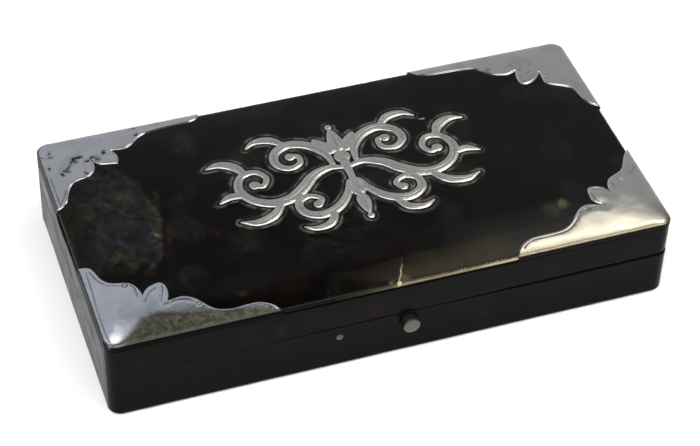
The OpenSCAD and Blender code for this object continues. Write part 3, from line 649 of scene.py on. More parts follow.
# three copies of the shell that differ in gloss and in their painted sheen colour; the bluish sheen of the left ends is
# a painted reflection
M_SHELL_TOP = make_shell("tortoiseshell_top", 0.10, 0.06, True, 0.75, (0.0048, 0.0045, 0.0044))
M_SHELL_SIDE = make_shell("tortoiseshell_side", 0.044, 0.14, False, 0.5, (0.0036, 0.0031, 0.0031))
M_SHELL_END = make_shell("tortoiseshell_end", 0.30, 0.14, False, 0.5, (0.0060, 0.0061, 0.0070), 1.095)
# one silver in four copies: the tints, bluish on the front left and warmer on the front right, are painted reflection,
# and the rim colours are painted shade
M_SILVERS = {
    "front_left": make_silver("silver_front_left", (0.79, 0.815, 0.88), 0.07, 1.0, ((0.060, 0.060, 0.050), (0.0040, 0.0038, 0.0036))),
    "front_right": make_silver("silver_front_right", (0.735, 0.735, 0.72), 0.09, 0.5, ((0.20, 0.172, 0.118), (0.010, 0.009, 0.007))),
    "back_left": make_silver("silver_back_left", (0.72, 0.715, 0.735), 0.09),
    "back_right": make_silver("silver_back_right", (0.735, 0.735, 0.735), 0.09),
}
M_SCROLL = make_silver("silver_scroll", (0.68, 0.67, 0.65), 0.22, 0.5)
M_PIN = make_silver("silver_pin", (0.52, 0.52, 0.52), 0.22, 0.5)
M_BUTTON = make_silver("silver_button", (0.102, 0.099, 0.080), 0.24, 1.0)
M_RIVET = make_silver("silver_rivet", (0.085, 0.085, 0.090), 0.24, 1.0)
M_BRASS = make_metal("aged_brass", (0.66, 0.50, 0.24), (0.34, 0.22, 0.09), 0.24)
M_STEEL = make_metal("spring_steel", (0.42, 0.42, 0.44), (0.19, 0.18, 0.19), 0.26, 1.6)
M_WOOD_X = make_wood("stained_wood_long", (0.23, 0.105, 0.045), (0.085, 0.034, 0.015), "X")
M_WOOD_Y = make_wood("stained_wood_cross", (0.21, 0.095, 0.042), (0.080, 0.032, 0.014), "Y")
M_VELVET = make_velvet("crimson_velvet", (0.060, 0.0045, 0.010), (0.235, 0.018, 0.036))
M_SILK = make_weave("gold_silk", (0.60, 0.45, 0.235), (0.42, 0.295, 0.145), 0.16, 0.25, 0.45, 0.36, 0.35, satin=True)
M_CLOTH = make_weave("glazed_cloth", (0.028, 0.018, 0.021), (0.016, 0.011, 0.013), 0.34, 0.30, 0.30, 0.50, 0.45)


# ------------------------------------------------------------------ floor and light
def make_floor():
    me = bpy.data.meshes.new("floor")
    n, r = 96, 7.0
    ring = [(r * math.cos(2 * math.pi * i / n), r * math.sin(2 * math.pi * i / n), -0.00002) for i in range(n)]
    me.from_pydata(ring, [], [tuple(range(n))])
    ob = bpy.data.objects.new("floor", me)
    bpy.context.scene.collection.objects.link(ob)
    k = Look("floor_paper", specular=0.0)
    col = k.mix(k.noise(60.0, 3.0, 0.5), (0.94, 0.94, 0.94), (0.965, 0.965, 0.965))
    me.materials.append(k.done(col, 0.9))


def make_world():
    """A soft-box studio as a painted sky: pale all round the horizon, bright behind the viewer, a dark panel overhead."""
    w = bpy.data.worlds.new("studio")
    bpy.context.scene.world = w
    w.use_nodes = True
    t = w.node_tree
    bg = t.nodes["Background"]
    tc = t.nodes.new("ShaderNodeTexCoord")
    sep = t.nodes.new("ShaderNodeSeparateXYZ")
    t.links.new(tc.outputs["Generated"], sep.inputs[0])

    def ranged(sock, lo, hi, a=0.0, b=1.0):
        n = t.nodes.new("ShaderNodeMapRange")
        n.interpolation_type = "SMOOTHSTEP"
        t.links.new(sock, n.inputs["Value"])
        n.inputs["From Min"].default_value, n.inputs["From Max"].default_value = lo, hi
        n.inputs["To Min"].default_value, n.inputs["To Max"].default_value = a, b
        return n.outputs["Result"]

    def mixed(f, a, b):
        n = t.nodes.new("ShaderNodeMix")
        n.data_type = "RGBA"
        t.links.new(f, n.inputs[0])
        for sock, val in ((n.inputs[6], a), (n.inputs[7], b)):
            if isinstance(val, tuple):
                sock.default_value = (*val, 1.0)
            else:
                t.links.new(val, sock)
        return n.outputs[2]

    def toward(x, y, z):
        n = t.nodes.new("ShaderNodeVectorMath")
        n.operation = "DOT_PRODUCT"
        t.links.new(tc.outputs["Generated"], n.inputs[0])
        v = Vector((x, y, z)).normalized()
        n.inputs[1].default_value = tuple(v)
        return n.outputs["Value"]

    far = mixed(ranged(sep.outputs["X"], 0.08, 0.42), (0.40, 0.415, 0.45), (0.33, 0.33, 0.335))
    sky = mixed(ranged(sep.outputs["Y"], -0.35, 0.25), (0.95, 0.95, 0.95), far)
    sky = mixed(ranged(toward(0.16, 0.22, 0.96), 0.86, 0.955), sky, (0.055, 0.06, 0.05))
    low = mixed(ranged(sep.outputs["Y"], 0.05, 0.45), (0.92, 0.92, 0.92), (0.46, 0.46, 0.47))
    sky = mixed(ranged(sep.outputs["Z"], 0.12, 0.42), low, sky)
    t.links.new(sky, bg.inputs["Color"])
    bg.inputs["Strength"].default_value = 1.0


def area(name, at, toward, size, watts, color=(1, 1, 1), spread=180.0, up=(0, 0, 1)):
    """A rectangular soft box; with a narrow spread its mirror image fades smoothly away from the middle."""
    d = bpy.data.lights.new(name, "AREA")
    d.shape = "RECTANGLE"
    d.size, d.size_y = size
    d.energy = watts
    d.color = color
    d.spread = math.radians(spread)
    ob = bpy.data.objects.new(name, d)
    bpy.context.scene.collection.objects.link(ob)
    ob.location = at
    back = (Vector(at) - Vector(toward)).normalized()
    across = Vector(up).cross(back).normalized()
    ob.rotation_mode = "QUATERNION"
    ob.rotation_quaternion = Matrix((across, back.cross(across), back)).transposed().to_quaternion()
    return ob


make_floor()
make_world()
area("key", (0.85, -0.55, 1.25), (0, 0, 0.01), (0.9, 0.9), 10.5, (1.0, 0.985, 0.96))
area("fill", (-0.85, -0.75, 1.1), (0, 0, 0.01), (0.9, 0.9), 9.5, (0.98, 0.99, 1.0))
area("side", (-1.10, -0.05, 0.95), (-0.1, 0, 0.0), (0.7, 0.7), 5.0, (1.0, 1.0, 1.0))
area("top", (-0.10, -0.45, 1.45), (0, -0.05, 0), (1.4, 1.1), 6.5, (1.0, 1.0, 1.0))
area("warm", (0.256, 0.124, 0.4625), (0.066, -0.036, 0.025), (0.256, 0.34), 0.034, (1.0, 0.925, 0.79), 40, (0, 1, 0))
area("glint_left", (-0.089, 0.265, 0.545), (-0.071, -0.035, 0.025), (0.16, 0.16), 0.0014, (1.0, 0.99, 0.98), 19)
area("glint_right", (0.313, 0.128, 0.428), (0.071, -0.036, 0.025), (0.09, 0.09), 0.0015, (1.0, 0.99, 0.97), 18)
bpy.context.scene.view_settings.view_transform = "Standard"


# ------------------------------------------------------------------ the scroll ornament, as a distance field on a grid
STROKES = [
    [[1.2, 2.6, 1.4], [5, 3.4, 2.2], [9.5, 1.6, 3], [13.5, -2.2, 3.4], [18, -5, 3.3],
     [23, -5.2, 3], [27.6, -2.4, 2.7], [29.6, 2.2, 2.4], [27.8, 6.6, 2.1], [23.8, 7.4, 1.9],
     [21.6, 4.4, 1.7], [23.2, 1.6, 1.5], [25.6, 2.8, 1.5]],
    [[3.2, 4.6, 1.4], [4.2, 9.2, 2.3], [7.6, 13.4, 2.9], [12.4, 15, 2.9], [16.6, 12.8, 2.6],
     [17.6, 8.8, 2.3], [14.8, 6.2, 2], [11.4, 7.2, 1.7], [11.2, 10.2, 1.5], [13.4, 10.6, 1.5]],
    [[1.4, -3, 1.3], [3.2, -7.6, 2.2], [7, -11.6, 2.8], [12, -13, 2.8], [16, -10.8, 2.5],
     [16.2, -7, 2.1], [13, -5.4, 1.8], [10.2, -7.2, 1.6], [11.4, -9.4, 1.5]],
]
LEAVES = [
    [[20, -5.6, 1.4], [23.6, -9.6, 2.8], [28.4, -11, 2.4], [32.6, -9.6, 0.5]],
    [[26.4, 7, 1.4], [28.4, 10.8, 2.9], [32.2, 12.8, 2.4], [35.8, 12, 0.5]],
    [[29.2, -0.6, 1.4], [32.4, 0.2, 2.4], [35.8, -1.6, 0.5]],
    [[13.2, 15.2, 1.4], [16.6, 18.2, 2.7], [20.6, 18.6, 2], [23.6, 16.6, 0.5]],
    [[8, -12.4, 1.4], [10.4, -16.4, 2.4], [14.6, -17.4, 1.8], [17.6, -16, 0.5]],
]
STEM = [[0, 4.2, 2.6], [0, -1, 1.9], [0, -6, 2.4]]
PETALS = [[0, 13.2, 2, 4.6, 0], [3.6, 11.9, 1.7, 4, -32], [0, -12.2, 1.7, 3.8, 180]]
BEADS = [[0, 6.6, 2.2], [0, -7, 1.9], [25.2, 2.6, 1.5], [13.2, 10.4, 1.4], [11.6, -9, 1.3], [0, 18.6, 1], [0, -16.9, 1]]
GRID = 0.16
GX, GY = np.arange(-37.4, 37.4 + GRID, GRID), np.arange(-20.6, 22.2 + GRID, GRID)


def petal_line(p):
    t = np.linspace(0, 2 * math.pi, 40, endpoint=False)
    x, y = p[2] * np.sin(t) * (1 - 0.35 * np.cos(t)), p[3] * np.cos(t)
    a = math.radians(p[4])
    return np.stack([p[0] + x * math.cos(a) - y * math.sin(a), p[1] + x * math.sin(a) + y * math.cos(a)], 1)


def scroll_field():
    half = GX >= -0.2
    X, Y = np.meshgrid(GX[half], GY)
    P = np.stack([X.ravel(), Y.ravel()], 1)
    best = np.full(len(P), 9.0)
    soft = 0.28

    def join(d):
        nonlocal best
        h = np.clip(0.5 + 0.5 * (best - d) / soft, 0, 1)
        best = best * (1 - h) + d * h - soft * h * (1 - h)

    for s in STROKES + LEAVES + [STEM]:
        line = catmull(s, 9)
        lo, hi = line[:, :2].min(0) - 4, line[:, :2].max(0) + 4
        near = np.where((P[:, 0] > lo[0]) & (P[:, 0] < hi[0]) & (P[:, 1] > lo[1]) & (P[:, 1] < hi[1]))[0]
        q = P[near]
        a, b = line[:-1], line[1:]
        d = b[:, :2] - a[:, :2]
        l2 = (d ** 2).sum(1) + 1e-9
        out = np.full(len(q), 9.0)
        for k in range(len(a)):
            w = q - a[k, :2]
            t = np.clip((w @ d[k]) / l2[k], 0, 1)
            r = (a[k, 2] + (b[k, 2] - a[k, 2]) * t) / 2
            out = np.minimum(out, np.hypot(w[:, 0] - t * d[k, 0], w[:, 1] - t * d[k, 1]) - r)
        full = np.full(len(P), 9.0)
        full[near] = out
        join(full)
    for p in PETALS:
        loop = petal_line(p)
        d = seg_dist(P, loop, True)
        join(np.where(inside(P, loop), -d, d))
    for x, y, r in BEADS:
        join(np.hypot(P[:, 0] - x, P[:, 1] - y) - r)
    F = best.reshape(X.shape)
    whole = np.empty((len(GY), len(GX)))
    for i, x in enumerate(GX):
        k = np.interp(abs(x), GX[half], np.arange(half.sum()))
        k0 = int(min(math.floor(k), half.sum() - 2))
        whole[:, i] = F[:, k0] * (1 - (k - k0)) + F[:, k0 + 1] * (k - k0)
    return whole


FIELD = scroll_field()


def field_at(x, y):
    """Distance to the ornament at row-frame places, negative inside it."""
    fx, fy = (np.asarray(x) - SCROLL[0] - GX[0]) / GRID, (np.asarray(y) - SCROLL[1] - GY[0]) / GRID
    out = (fx < 0) | (fy < 0) | (fx > len(GX) - 1.001) | (fy > len(GY) - 1.001)
    fx, fy = np.clip(fx, 0, len(GX) - 1.001), np.clip(fy, 0, len(GY) - 1.001)
    i, j = fx.astype(int), fy.astype(int)
    u, v = fx - i, fy - j
    d = (FIELD[j, i] * (1 - u) * (1 - v) + FIELD[j, i + 1] * u * (1 - v)
         + FIELD[j + 1, i] * (1 - u) * v + FIELD[j + 1, i + 1] * u * v)
    return np.where(out, 9.0, d)


def contours(level):
    """Closed loops of the field at a level, with the inside on the left."""
    F = FIELD - level
    F = np.where(np.abs(F) < 1e-6, 1e-6, F)
    nx = len(GX)
    nxt, pts = {}, {}

    def cross(a, b):
        (j0, i0), (j1, i1) = a, b
        key = (a, b) if a < b else (b, a)
        if key not in pts:
            f0, f1 = F[j0, i0], F[j1, i1]
            t = f0 / (f0 - f1)
            pts[key] = (GX[i0] + (GX[i1] - GX[i0]) * t, GY[j0] + (GY[j1] - GY[j0]) * t)
        return key

    neg = F < 0
    mixed = (neg[:-1, :-1].astype(int) + neg[1:, :-1] + neg[:-1, 1:] + neg[1:, 1:])
    for j, i in zip(*np.where((mixed > 0) & (mixed < 4))):
        c = [(j, i), (j, i + 1), (j + 1, i + 1), (j + 1, i)]
        s = [neg[p] for p in c]
        ins, outs = [], []
        for k in range(4):
            a, b = c[k], c[(k + 1) % 4]
            if s[k] and not s[(k + 1) % 4]:
                outs.append((k, cross(a, b)))
            elif not s[k] and s[(k + 1) % 4]:
                ins.append((k, cross(a, b)))
        for k, start in outs:
            # joins to the entry met next, going round the cell
            k2, end = min(ins, key=lambda e: (e[0] - k) % 4)
            nxt[start] = end
    loops = []
    while nxt:
        start, cur = next(iter(nxt.items()))
        loop = [start]
        del nxt[start]
        while cur != start and cur in nxt:
            loop.append(cur)
            cur = nxt.pop(cur)
        if len(loop) > 7:
            loops.append(np.array([pts[k] for k in loop]))
    return loops


def smooth_loop(p, times=3):
    for _ in range(times):
        p = 0.5 * p + 0.25 * (np.roll(p, 1, 0) + np.roll(p, -1, 0))
    return p


# ------------------------------------------------------------------ the shell panel of the lid
CRACK = catmull([[-0.1, -38.25, 0], [0.45, -36.9, 0], [1.35, -35.5, 0], [1.75, -34.2, 0], [2.5, -33.0, 0], [2.95, -31.9, 0], [3.5, -31.0, 0]], 8)[:, :2]
LIP = [0.0, 0.07, 0.15, 0.3, 0.5, 0.8, 1.1, 1.6, 2.2, 3.0, 4.0, 5.2]


def hexes(x0, x1, y0, y1, step):
    out = []
    j, y = 0, y0
    while y <= y1:
        xs = np.arange(x0 + (step / 2 if j % 2 else 0), x1, step)
        out.append(np.stack([xs, np.full(len(xs), y)], 1))
        y += step * 0.866
        j += 1
    return np.vstack(out)


def panel_relief(x, y):
    """What the worn panel has over its smooth cushion shape: a swell round the ornament, a crack with a sprung lip."""
    P = np.stack([x, y], 1)
    d = field_at(x, y)
    swell = (0.12 * np.exp(-((d - 0.85) / 0.42) ** 2) + 0.06 * smooth01(1 - (d - 0.25) / 2.4)) * (0.8 + 0.2 * waves(P, 6, 21))
    dc = np.full(len(P), 9.0)
    near = (x > -10) & (x < 40) & (y < -26)
    if near.any():
        dc[near] = seg_dist(P[near], CRACK)
    cx = np.interp(y, CRACK[:, 1], CRACK[:, 0], left=-0.1, right=3.5)
    side = x - cx
    up = smooth01((-30.6 - y) / 3.0)
    lift = np.where(side > 0, np.exp(-side / 9.0), 0.0) * 0.16 * smooth01((-30.2 - y) / 4.5)
    cut = -0.16 * np.exp(-(dc / 0.16) ** 2) * smooth01((-30.9 - y) / 1.0 + 0.3)
    return swell + lift * up + cut, dc, side, d


def build_panel():
    outline = rr_loop(PA, PB, PR, 0.55)
    rings = [rr_loop(PA - t, PB - t, PR + 0.8 * t, 0.62 + 0.12 * k, 10) for k, t in enumerate(LIP) if t > 0]
    crack_pts = []
    line = resample(CRACK, 0.16)
    tan = np.gradient(line, axis=0)
    nrm = np.stack([-tan[:, 1], tan[:, 0]], 1) / np.linalg.norm(tan, axis=1)[:, None]
    for off in (-0.5, -0.28, -0.16, -0.07, 0.0, 0.07, 0.16, 0.28, 0.5):
        crack_pts.append(line + nrm * off)
    crack_pts = np.vstack(crack_pts)
    crack_pts = crack_pts[rr_sdf(crack_pts[:, 0], crack_pts[:, 1], PA, PB, PR) < -0.12]
    rim = np.vstack(rings)
    rim = thin_out(rim, crack_pts, 0.14)
    fixed = np.vstack([rim, crack_pts])
    fine = hexes(-36.5, 38.5, -18.5, 25.5, 0.55)
    df = field_at(fine[:, 0], fine[:, 1])
    fine = fine[(df < 3.4) & (df > -0.6)]
    ring_pts = []
    for level, step in ((0.25, 0.4), (0.55, 0.36), (0.82, 0.36), (1.1, 0.4), (1.45, 0.45)):
        for c in contours(level):
            if len(c) > 12:
                ring_pts.append(resample(smooth_loop(resample(c, 0.25, True), 1), step, True) + np.array(SCROLL))
    ring_pts = np.vstack(ring_pts)
    fine = thin_out(fine, ring_pts, 0.26)
    fine = np.vstack([ring_pts, fine])
    coarse = hexes(-PA, PA, -PB, PB, 1.05)
    dc = field_at(coarse[:, 0], coarse[:, 1])
    coarse = coarse[(rr_sdf(coarse[:, 0], coarse[:, 1], PA - 5.4, PB - 5.4, PR + 4.3) < -0.45) & ((dc >= 3.4) | (dc <= -0.6))]
    coarse = thin_out(coarse, crack_pts, 0.5)
    pts = np.vstack([outline, fixed, fine, coarse])
    n = len(outline)
    edges = [(i, (i + 1) % n) for i in range(n)]
    keep = lambda c: rr_sdf(c[:, 0], c[:, 1], PA, PB, PR) < 1e-4
    v2, f = tri_patch(pts, edges, keep)
    z, t = shell_z(v2[:, 0], v2[:, 1])
    rel, dcr, side, dorn = panel_relief(v2[:, 0], v2[:, 1])
    # the outermost edge leans in a little
    e = 0.01
    gx = (rr_sdf(v2[:, 0] + e, v2[:, 1], PA, PB, PR) - rr_sdf(v2[:, 0] - e, v2[:, 1], PA, PB, PR)) / (2 * e)
    gy = (rr_sdf(v2[:, 0], v2[:, 1] + e, PA, PB, PR) - rr_sdf(v2[:, 0], v2[:, 1] - e, PA, PB, PR)) / (2 * e)
    lean = 0.20 * np.exp(-t / 0.35) * (t < 1.5) * (1 - 0.8 * smooth01((-36.2 - v2[:, 1]) / 1.2))
    rim_fade = smooth01((t - 0.02) / 0.5)
    z = z + rel * np.where(np.abs(side) < 30, np.maximum(rim_fade, np.where(rel > 0, 0.6, 1.0)), 1.0)
    z = np.minimum(z, 25.62)
    chips = 0.05 * smooth01(waves(v2, 1.7, 31) - 0.7) * smooth01(1 - np.abs(t - 0.35) / 0.5) * (v2[:, 1] > -30)
    z -= chips
    top3 = np.column_stack([v2[:, 0] - gx * lean, v2[:, 1] - gy * lean, z])
    low_pts = np.vstack([outline] + [rr_loop(PA - 0.9 - t, PB - 0.9 - t, max(PR - 0.9 + 0.8 * t, 0.5), 3.0, 5) for t in (0.0, 0.5, 1.1, 2.2, 4, 6.2, 9, 13)])
    v2b, fb = tri_patch(low_pts, edges, keep)
    tb = inset(v2b[:, 0], v2b[:, 1], -0.9)
    zb = TOPZ + np.where(tb > 0.01, np.maximum(pchip(tb, PROFILE[:, 0], PROFILE[:, 1]) - 0.9, 0.0), 0.0)
    bot3 = np.column_stack([v2b, zb])
    verts, faces = close_solid(v2, f, top3, v2b, fb, bot3)
    x, y = v2[:, 0], v2[:, 1]

    def blob(cx, cy, rx, ry, turn=0.0, soft=1.0):
        a = math.radians(turn)
        u, w = (x - cx) * math.cos(a) + (y - cy) * math.sin(a), -(x - cx) * math.sin(a) + (y - cy) * math.cos(a)
        return smooth01((1.15 - np.hypot(u / rx, w / ry)) * 2.2 / soft)

    rough_edge = 1.1 * waves(v2, 6, 41) + 0.6 * waves(v2, 2.4, 42)
    right_edge = -50.2 - 0.016 * (y - 3.0) ** 2 + 0.25 * rough_edge
    worn = smooth01((right_edge - x) / 1.4) * smooth01((y + 15.5 + rough_edge) / 4.0) * smooth01((25.5 + rough_edge - y) / 5.0)
    worn *= (0.72 + 0.28 * smooth01(waves(v2, 7, 43) * 0.6 + 0.6)) * (0.35 + 0.65 * smooth01((t - 2.0) / 8.0))
    worn = np.maximum(worn, 0.32 * smooth01(waves(v2, 16, 44) - 0.35) * smooth01((y + 30) / 12))
    worn = np.maximum(worn, 0.30 * blob(-8, -17, 13, 8, 10, 1.6) * smooth01(waves(v2, 4, 45) + 0.4))
    amber = np.maximum.reduce([
        0.95 * blob(-55.2, -6.8, 1.9, 0.5, 8), 0.45 * blob(-38.5, -30.5, 1.3, 1.0, 20), 0.6 * blob(17.5, 36.2, 2.0, 0.8, -4),
        0.40 * blob(62.3, 14.4, 1.5, 1.0, 30), 0.25 * blob(-73.6, 2.0, 0.9, 3.0), 0.30 * blob(-20, 35.8, 6, 0.6)])
    ember = np.maximum.reduce([
        0.75 * blob(-50.2, -5.5, 0.8, 4.6, -12), 0.55 * blob(-51.8, -11.5, 0.7, 2.4, -16), 0.35 * blob(-10, -23.8, 2.0, 0.9, -12),
        0.25 * blob(1.5, -12.5, 1.1, 2.6, 14), 0.2 * blob(35, -30.5, 8, 0.8, 3), 0.2 * blob(44, 32.0, 2.4, 0.9, 0)])
    # painted highlight along the ridge of shell round the ornament
    halo = np.exp(-((dorn - 0.80) / 0.26) ** 2) * (0.20 + 0.65 * smooth01(waves(v2, 5.0, 46) * 0.8 + 0.45))
    # painted sheen on the panel, growing towards the back right
    haze = smooth01(((y + 30) / 62 + (x + 25) / 120).clip(0, 1) ** 1.6)
    # warm: a painted warm glow to the right of the crack along the front (painted reflection); the streak below is a
    # warm line along the edge of the worn patch
    warm = np.where(side > 0.0, 1.0, 0.30 * smooth01((side + 26) / 26)) * smooth01((-29.5 - y + 0.10 * x) / 6.5) * smooth01((36 - x) / 10)
    warm = warm * 0.45
    streak = seg_dist(v2, np.array([[-49.0, 11.4], [-50.2, 5.9], [-51.9, -0.5], [-54.1, -6.4]]))
    warm = np.maximum(warm, 0.75 * np.exp(-(streak / 0.38) ** 2) * smooth01(waves(v2, 5, 49) * 0.6 + 0.6))
    pale = np.maximum(0.9 * np.exp(-((dcr - 0.0) / 0.14) ** 2) * smooth01((-31.4 - y) / 3.5),
                      np.maximum(0.25 * blob(-2.1, -36.6, 0.25, 1.2, 10), 0.45 * blob(26.1, 17.8, 0.9, 0.25, -15)))
    pale = np.maximum(pale, 0.8 * blob(0.1, -38.0, 0.6, 0.6))
    pale = np.maximum(pale, 0.07 * blob(-1.9, -37.2, 0.8, 1.1, 25, 1.6) + 0.06 * blob(1.6, -37.0, 1.8, 1.6, 0, 1.6))
    # lip_light: a painted highlight along the front lip, brighter towards the right
    along = np.interp(x, [-17, -12, -8, -5, -1.5, 0.3, 3, 9, 15, 21, 26, 31, 34, 36], [0.0, 0.03, 0.06, 0.12, 0.16, 0.45, 0.42, 0.36, 0.42, 0.52, 0.85, 0.85, 0.45, 0.0])
    lip_light = along * smooth01((0.20 - t) / 0.12) * (0.88 + 0.12 * smooth01(waves(v2, 7, 48))) * (y < -30)
    # painted glow: a lighter patch on the front right of the panel, standing in for a reflected glow
    mist = 0.38 * smooth01((-20 - y) / 11) * np.interp(x, [4, 14, 22, 28, 52, 60], [0, 0.2, 0.75, 1, 1, 0.3])
    moss = np.maximum(0.80 * blob(49.5, -24.4, 1.7, 2.2, -25, 2.0), 0.22 * blob(46.2, -25.5, 3.2, 3.4, 0, 2.4))
    moss = np.maximum(moss, 0.85 * blob(-53.2, -4.2, 0.55, 1.5, 4, 1.6))
    traces = [([[-52.4, 8.6], [-51.4, 5.4], [-51.1, 2.0], [-51.6, -1.6], [-52.7, -5.6]], 0.42),
              ([[-52.9, -8.2], [-53.8, -10.6], [-55.4, -13.4], [-57.6, -15.6]], 0.50),
              ([[-55.2, -8.6], [-54.2, -10.8], [-54.8, -13.2]], 0.25),
              ([[-64.4, 12.0], [-61.6, 8.8], [-58.6, 5.0], [-57.8, 1.0]], 0.22),
              ([[-60.0, 12.4], [-56.0, 9.6], [-53.6, 6.6]], 0.22),
              ([[-69.0, 8.0], [-66.4, 3.0], [-65.6, -2.0]], 0.18),
              ([[-62.6, -4.6], [-60.4, -8.0], [-60.8, -11.2]], 0.24)]
    trace = np.zeros(len(x))
    for line, much in traces:
        d_t = seg_dist(v2, resample(catmull([[*q, 0] for q in line], 6)[:, :2], 0.5))
        trace = np.maximum(trace, much * np.exp(-(d_t / 0.34) ** 2) * (0.55 + 0.45 * smooth01(waves(v2, 3.0, 171) + 0.5)))
    # gap on the panel: a broad painted dark patch at the left front standing in for a dark reflection, and painted
    # shade along the left edge between the mounts
    gap = 0.85 * blob(-38.0, -27.0, 12, 5.2, 6, 2.6)
    gap = np.maximum(gap, 0.9 * smooth01((0.55 - t) / 0.35) * (x < -70) * smooth01((y + 11) / 3) * smooth01((13.5 - y) / 2))
    pale = np.maximum(pale, lip_light)
    pad = np.zeros(len(v2b))
    attrs = {k: np.concatenate([a, pad]) for k, a in dict(worn=worn, amber=amber, ember=ember, halo=halo, haze=haze, warm=warm, mist=mist, moss=moss, trace=trace, gap=gap, pale=np.clip(pale, 0, 1)).items()}
    return make("shell_panel", verts, faces, M_SHELL_TOP, "lid", "lid_shell_panel", 38, attrs)


# ------------------------------------------------------------------ corner mounts
# Pierced edges, cut by hand and a little different at each corner: three curves that meet in two notches, as distances
# from the end face and from the front (or back) face.
MOUNT_EDGES = {
    "front_left": (
        [[0, 28.9], [0.9, 28.9], [2.2, 28.4], [3.1, 27.5], [3.7, 26], [4.2, 24.2], [4.8, 22.8], [6, 21.4], [7.6, 20.6],
         [9.3, 20.1], [10.7, 19.6], [11.7, 18.5], [12.4, 17], [12.8, 15.5], [12.9, 14.2]],
        [[12.9, 14.2], [13.6, 15.4], [14.8, 16.6], [16.2, 17.2], [17.6, 17.5], [18.5, 17.1], [19.1, 15.9], [19.2, 14.3],
         [19, 12.7], [18.3, 10.9]],
        [[18.3, 10.9], [20, 11.1], [22, 11.3], [23.8, 10.6], [25.2, 9.4], [26.4, 7.8], [27.5, 6.3], [29, 5], [31, 4.3],
         [33.5, 4], [36.5, 4.2], [39, 4.2], [41, 3.6], [42.8, 2.5], [44, 1], [44.7, 0]]),
    "front_right": (
        [[0, 29.8], [0.8, 29.1], [1.8, 27.9], [2.8, 26.4], [3.7, 24.8], [4.6, 23.2], [5.8, 21.8], [7.4, 20.9], [9, 20.2],
         [10.3, 19.3], [11.1, 18.1], [11.6, 16.6], [11.7, 15.4], [11.6, 14.3]],
        [[11.6, 14.3], [12.1, 15.8], [13, 16.9], [14.3, 17.7], [15.7, 17.9], [16.8, 17.6], [17.4, 16.6], [17.6, 15],
         [17.7, 13.4], [17.1, 12.1], [15.6, 10.8]],
        [[15.6, 10.8], [17, 11.3], [18.4, 11.8], [20, 11.9], [21.6, 11.3], [22.9, 10.3], [24.2, 8.9], [25.4, 7.5],
         [26.9, 6.3], [28.8, 5.4], [31, 5.1], [34, 5.1], [36.8, 5], [39, 4.5], [41, 3.5], [42.4, 2.1], [43, 0.7], [43, 0]]),
    "back_left": (
        [[0, 26.1], [1.2, 26], [2.4, 25.4], [3.3, 24.3], [3.9, 22.6], [4.6, 20.8], [5.6, 19], [7, 18], [8.8, 17.6],
         [10.4, 17.2], [11.7, 16.3], [12.7, 15], [13.1, 13.4], [13.2, 11.6]],
        [[13.2, 11.6], [13.9, 12.8], [15, 13.6], [16.4, 13.9], [17.8, 14.1], [18.8, 14.4], [19.4, 13.6], [19.7, 12.2],
         [19.6, 10.6], [18.8, 8.8]],
        [[18.8, 8.8], [20, 9], [21.6, 9.2], [23.1, 8.8], [24.5, 7.9], [25.8, 6.6], [27.2, 5.4], [29, 4.6], [31.5, 4.2],
         [34.5, 3.9], [37.5, 3.8], [40, 3.7], [42, 3.4], [43.6, 2.7], [44.5, 1.4], [44.8, 0]]),
    "back_right": (
        [[0, 29.4], [1, 29], [2.2, 28.2], [3.1, 27.1], [3.7, 25.6], [4.1, 23.8], [4.5, 22.2], [5.4, 20.6], [6.9, 19.6],
         [8.6, 18.8], [10, 18], [11, 17.1], [11.3, 15.9], [11.2, 14.3], [11.1, 12.2]],
        [[11.1, 12.2], [12, 13.5], [13.1, 14.6], [14.4, 15.4], [15.7, 15.8], [16.8, 15.9], [17.7, 15.2], [18, 13.9],
         [17.9, 12.3], [17.6, 11], [17.2, 9.6]],
        [[17.2, 9.6], [18.4, 10.2], [20, 10.6], [21.6, 10.3], [23.2, 9.7], [24.6, 8.6], [26, 7.1], [27.4, 5.6], [29.2, 5],
         [32, 4.6], [35.5, 4.5], [38.5, 4.4], [40.8, 4.1], [42.6, 3.4], [44.2, 1.9], [45.2, 0.6], [45.4, 0]]),
}
# cut lines, as points and a depth, in the same distances
ENGRAVED = {
    "front_left": [
        ([[2.5, 26.6], [3, 24.7], [3.6, 23], [4.7, 21.2], [6.2, 20.2], [8.5, 19.2]], 1.0),
        ([[10.9, 18.7], [11.6, 17.4], [11.7, 15.9], [11.7, 14.4]], 0.9),
        ([[13.1, 12.2], [13.9, 13.6], [14.9, 14.7], [16.2, 15.5]], 0.9),
        ([[18.4, 16.3], [18, 14.3], [16.8, 11]], 0.8),
        ([[17.8, 9.4], [19, 10], [20.3, 10.3], [22, 10], [23.6, 9.3], [24.8, 8.4]], 1.0),
        ([[26.7, 6.1], [28.1, 4.7], [30.2, 3.7], [33.2, 3.2], [36.6, 3.3], [39.4, 3.1], [41.2, 2.3]], 0.7),
        ([[1.7, 26.8], [1.6, 21], [1.3, 14], [1.2, 6.3], [1.4, 1.8]], 0.7)],
    "front_right": [
        ([[22.9, 9.2], [24.1, 7.8], [25.9, 6.1], [27.8, 4.9], [29.7, 4.4], [33.1, 4.2], [35.8, 4.2], [37.7, 4.1],
          [39.4, 3.4], [40.9, 2.2]], 0.9),
        ([[15.9, 17.1], [13.9, 16.5], [12.4, 15.4]], 0.9),
        ([[17, 15.2], [16.9, 13.6], [16.3, 12.2]], 0.8),
        ([[1.5, 22.4], [2.8, 20.9], [4.2, 20.2]], 0.7),
        ([[10.2, 17.9], [9.8, 16.2]], 0.6),
        ([[7.4, 18.4], [7, 18]], 0.7)],
    "back_left": [
        ([[1.2, 14.1], [1.25, 19], [1.3, 24.5]], 0.7),
        ([[1.6, 24.3], [3.2, 21.9], [3.9, 20.3]], 0.8)],
    "back_right": [
        ([[16.8, 12.4], [16.7, 14.2], [15.8, 14.9], [14.4, 14.4], [13, 13.1]], 0.6)],
}
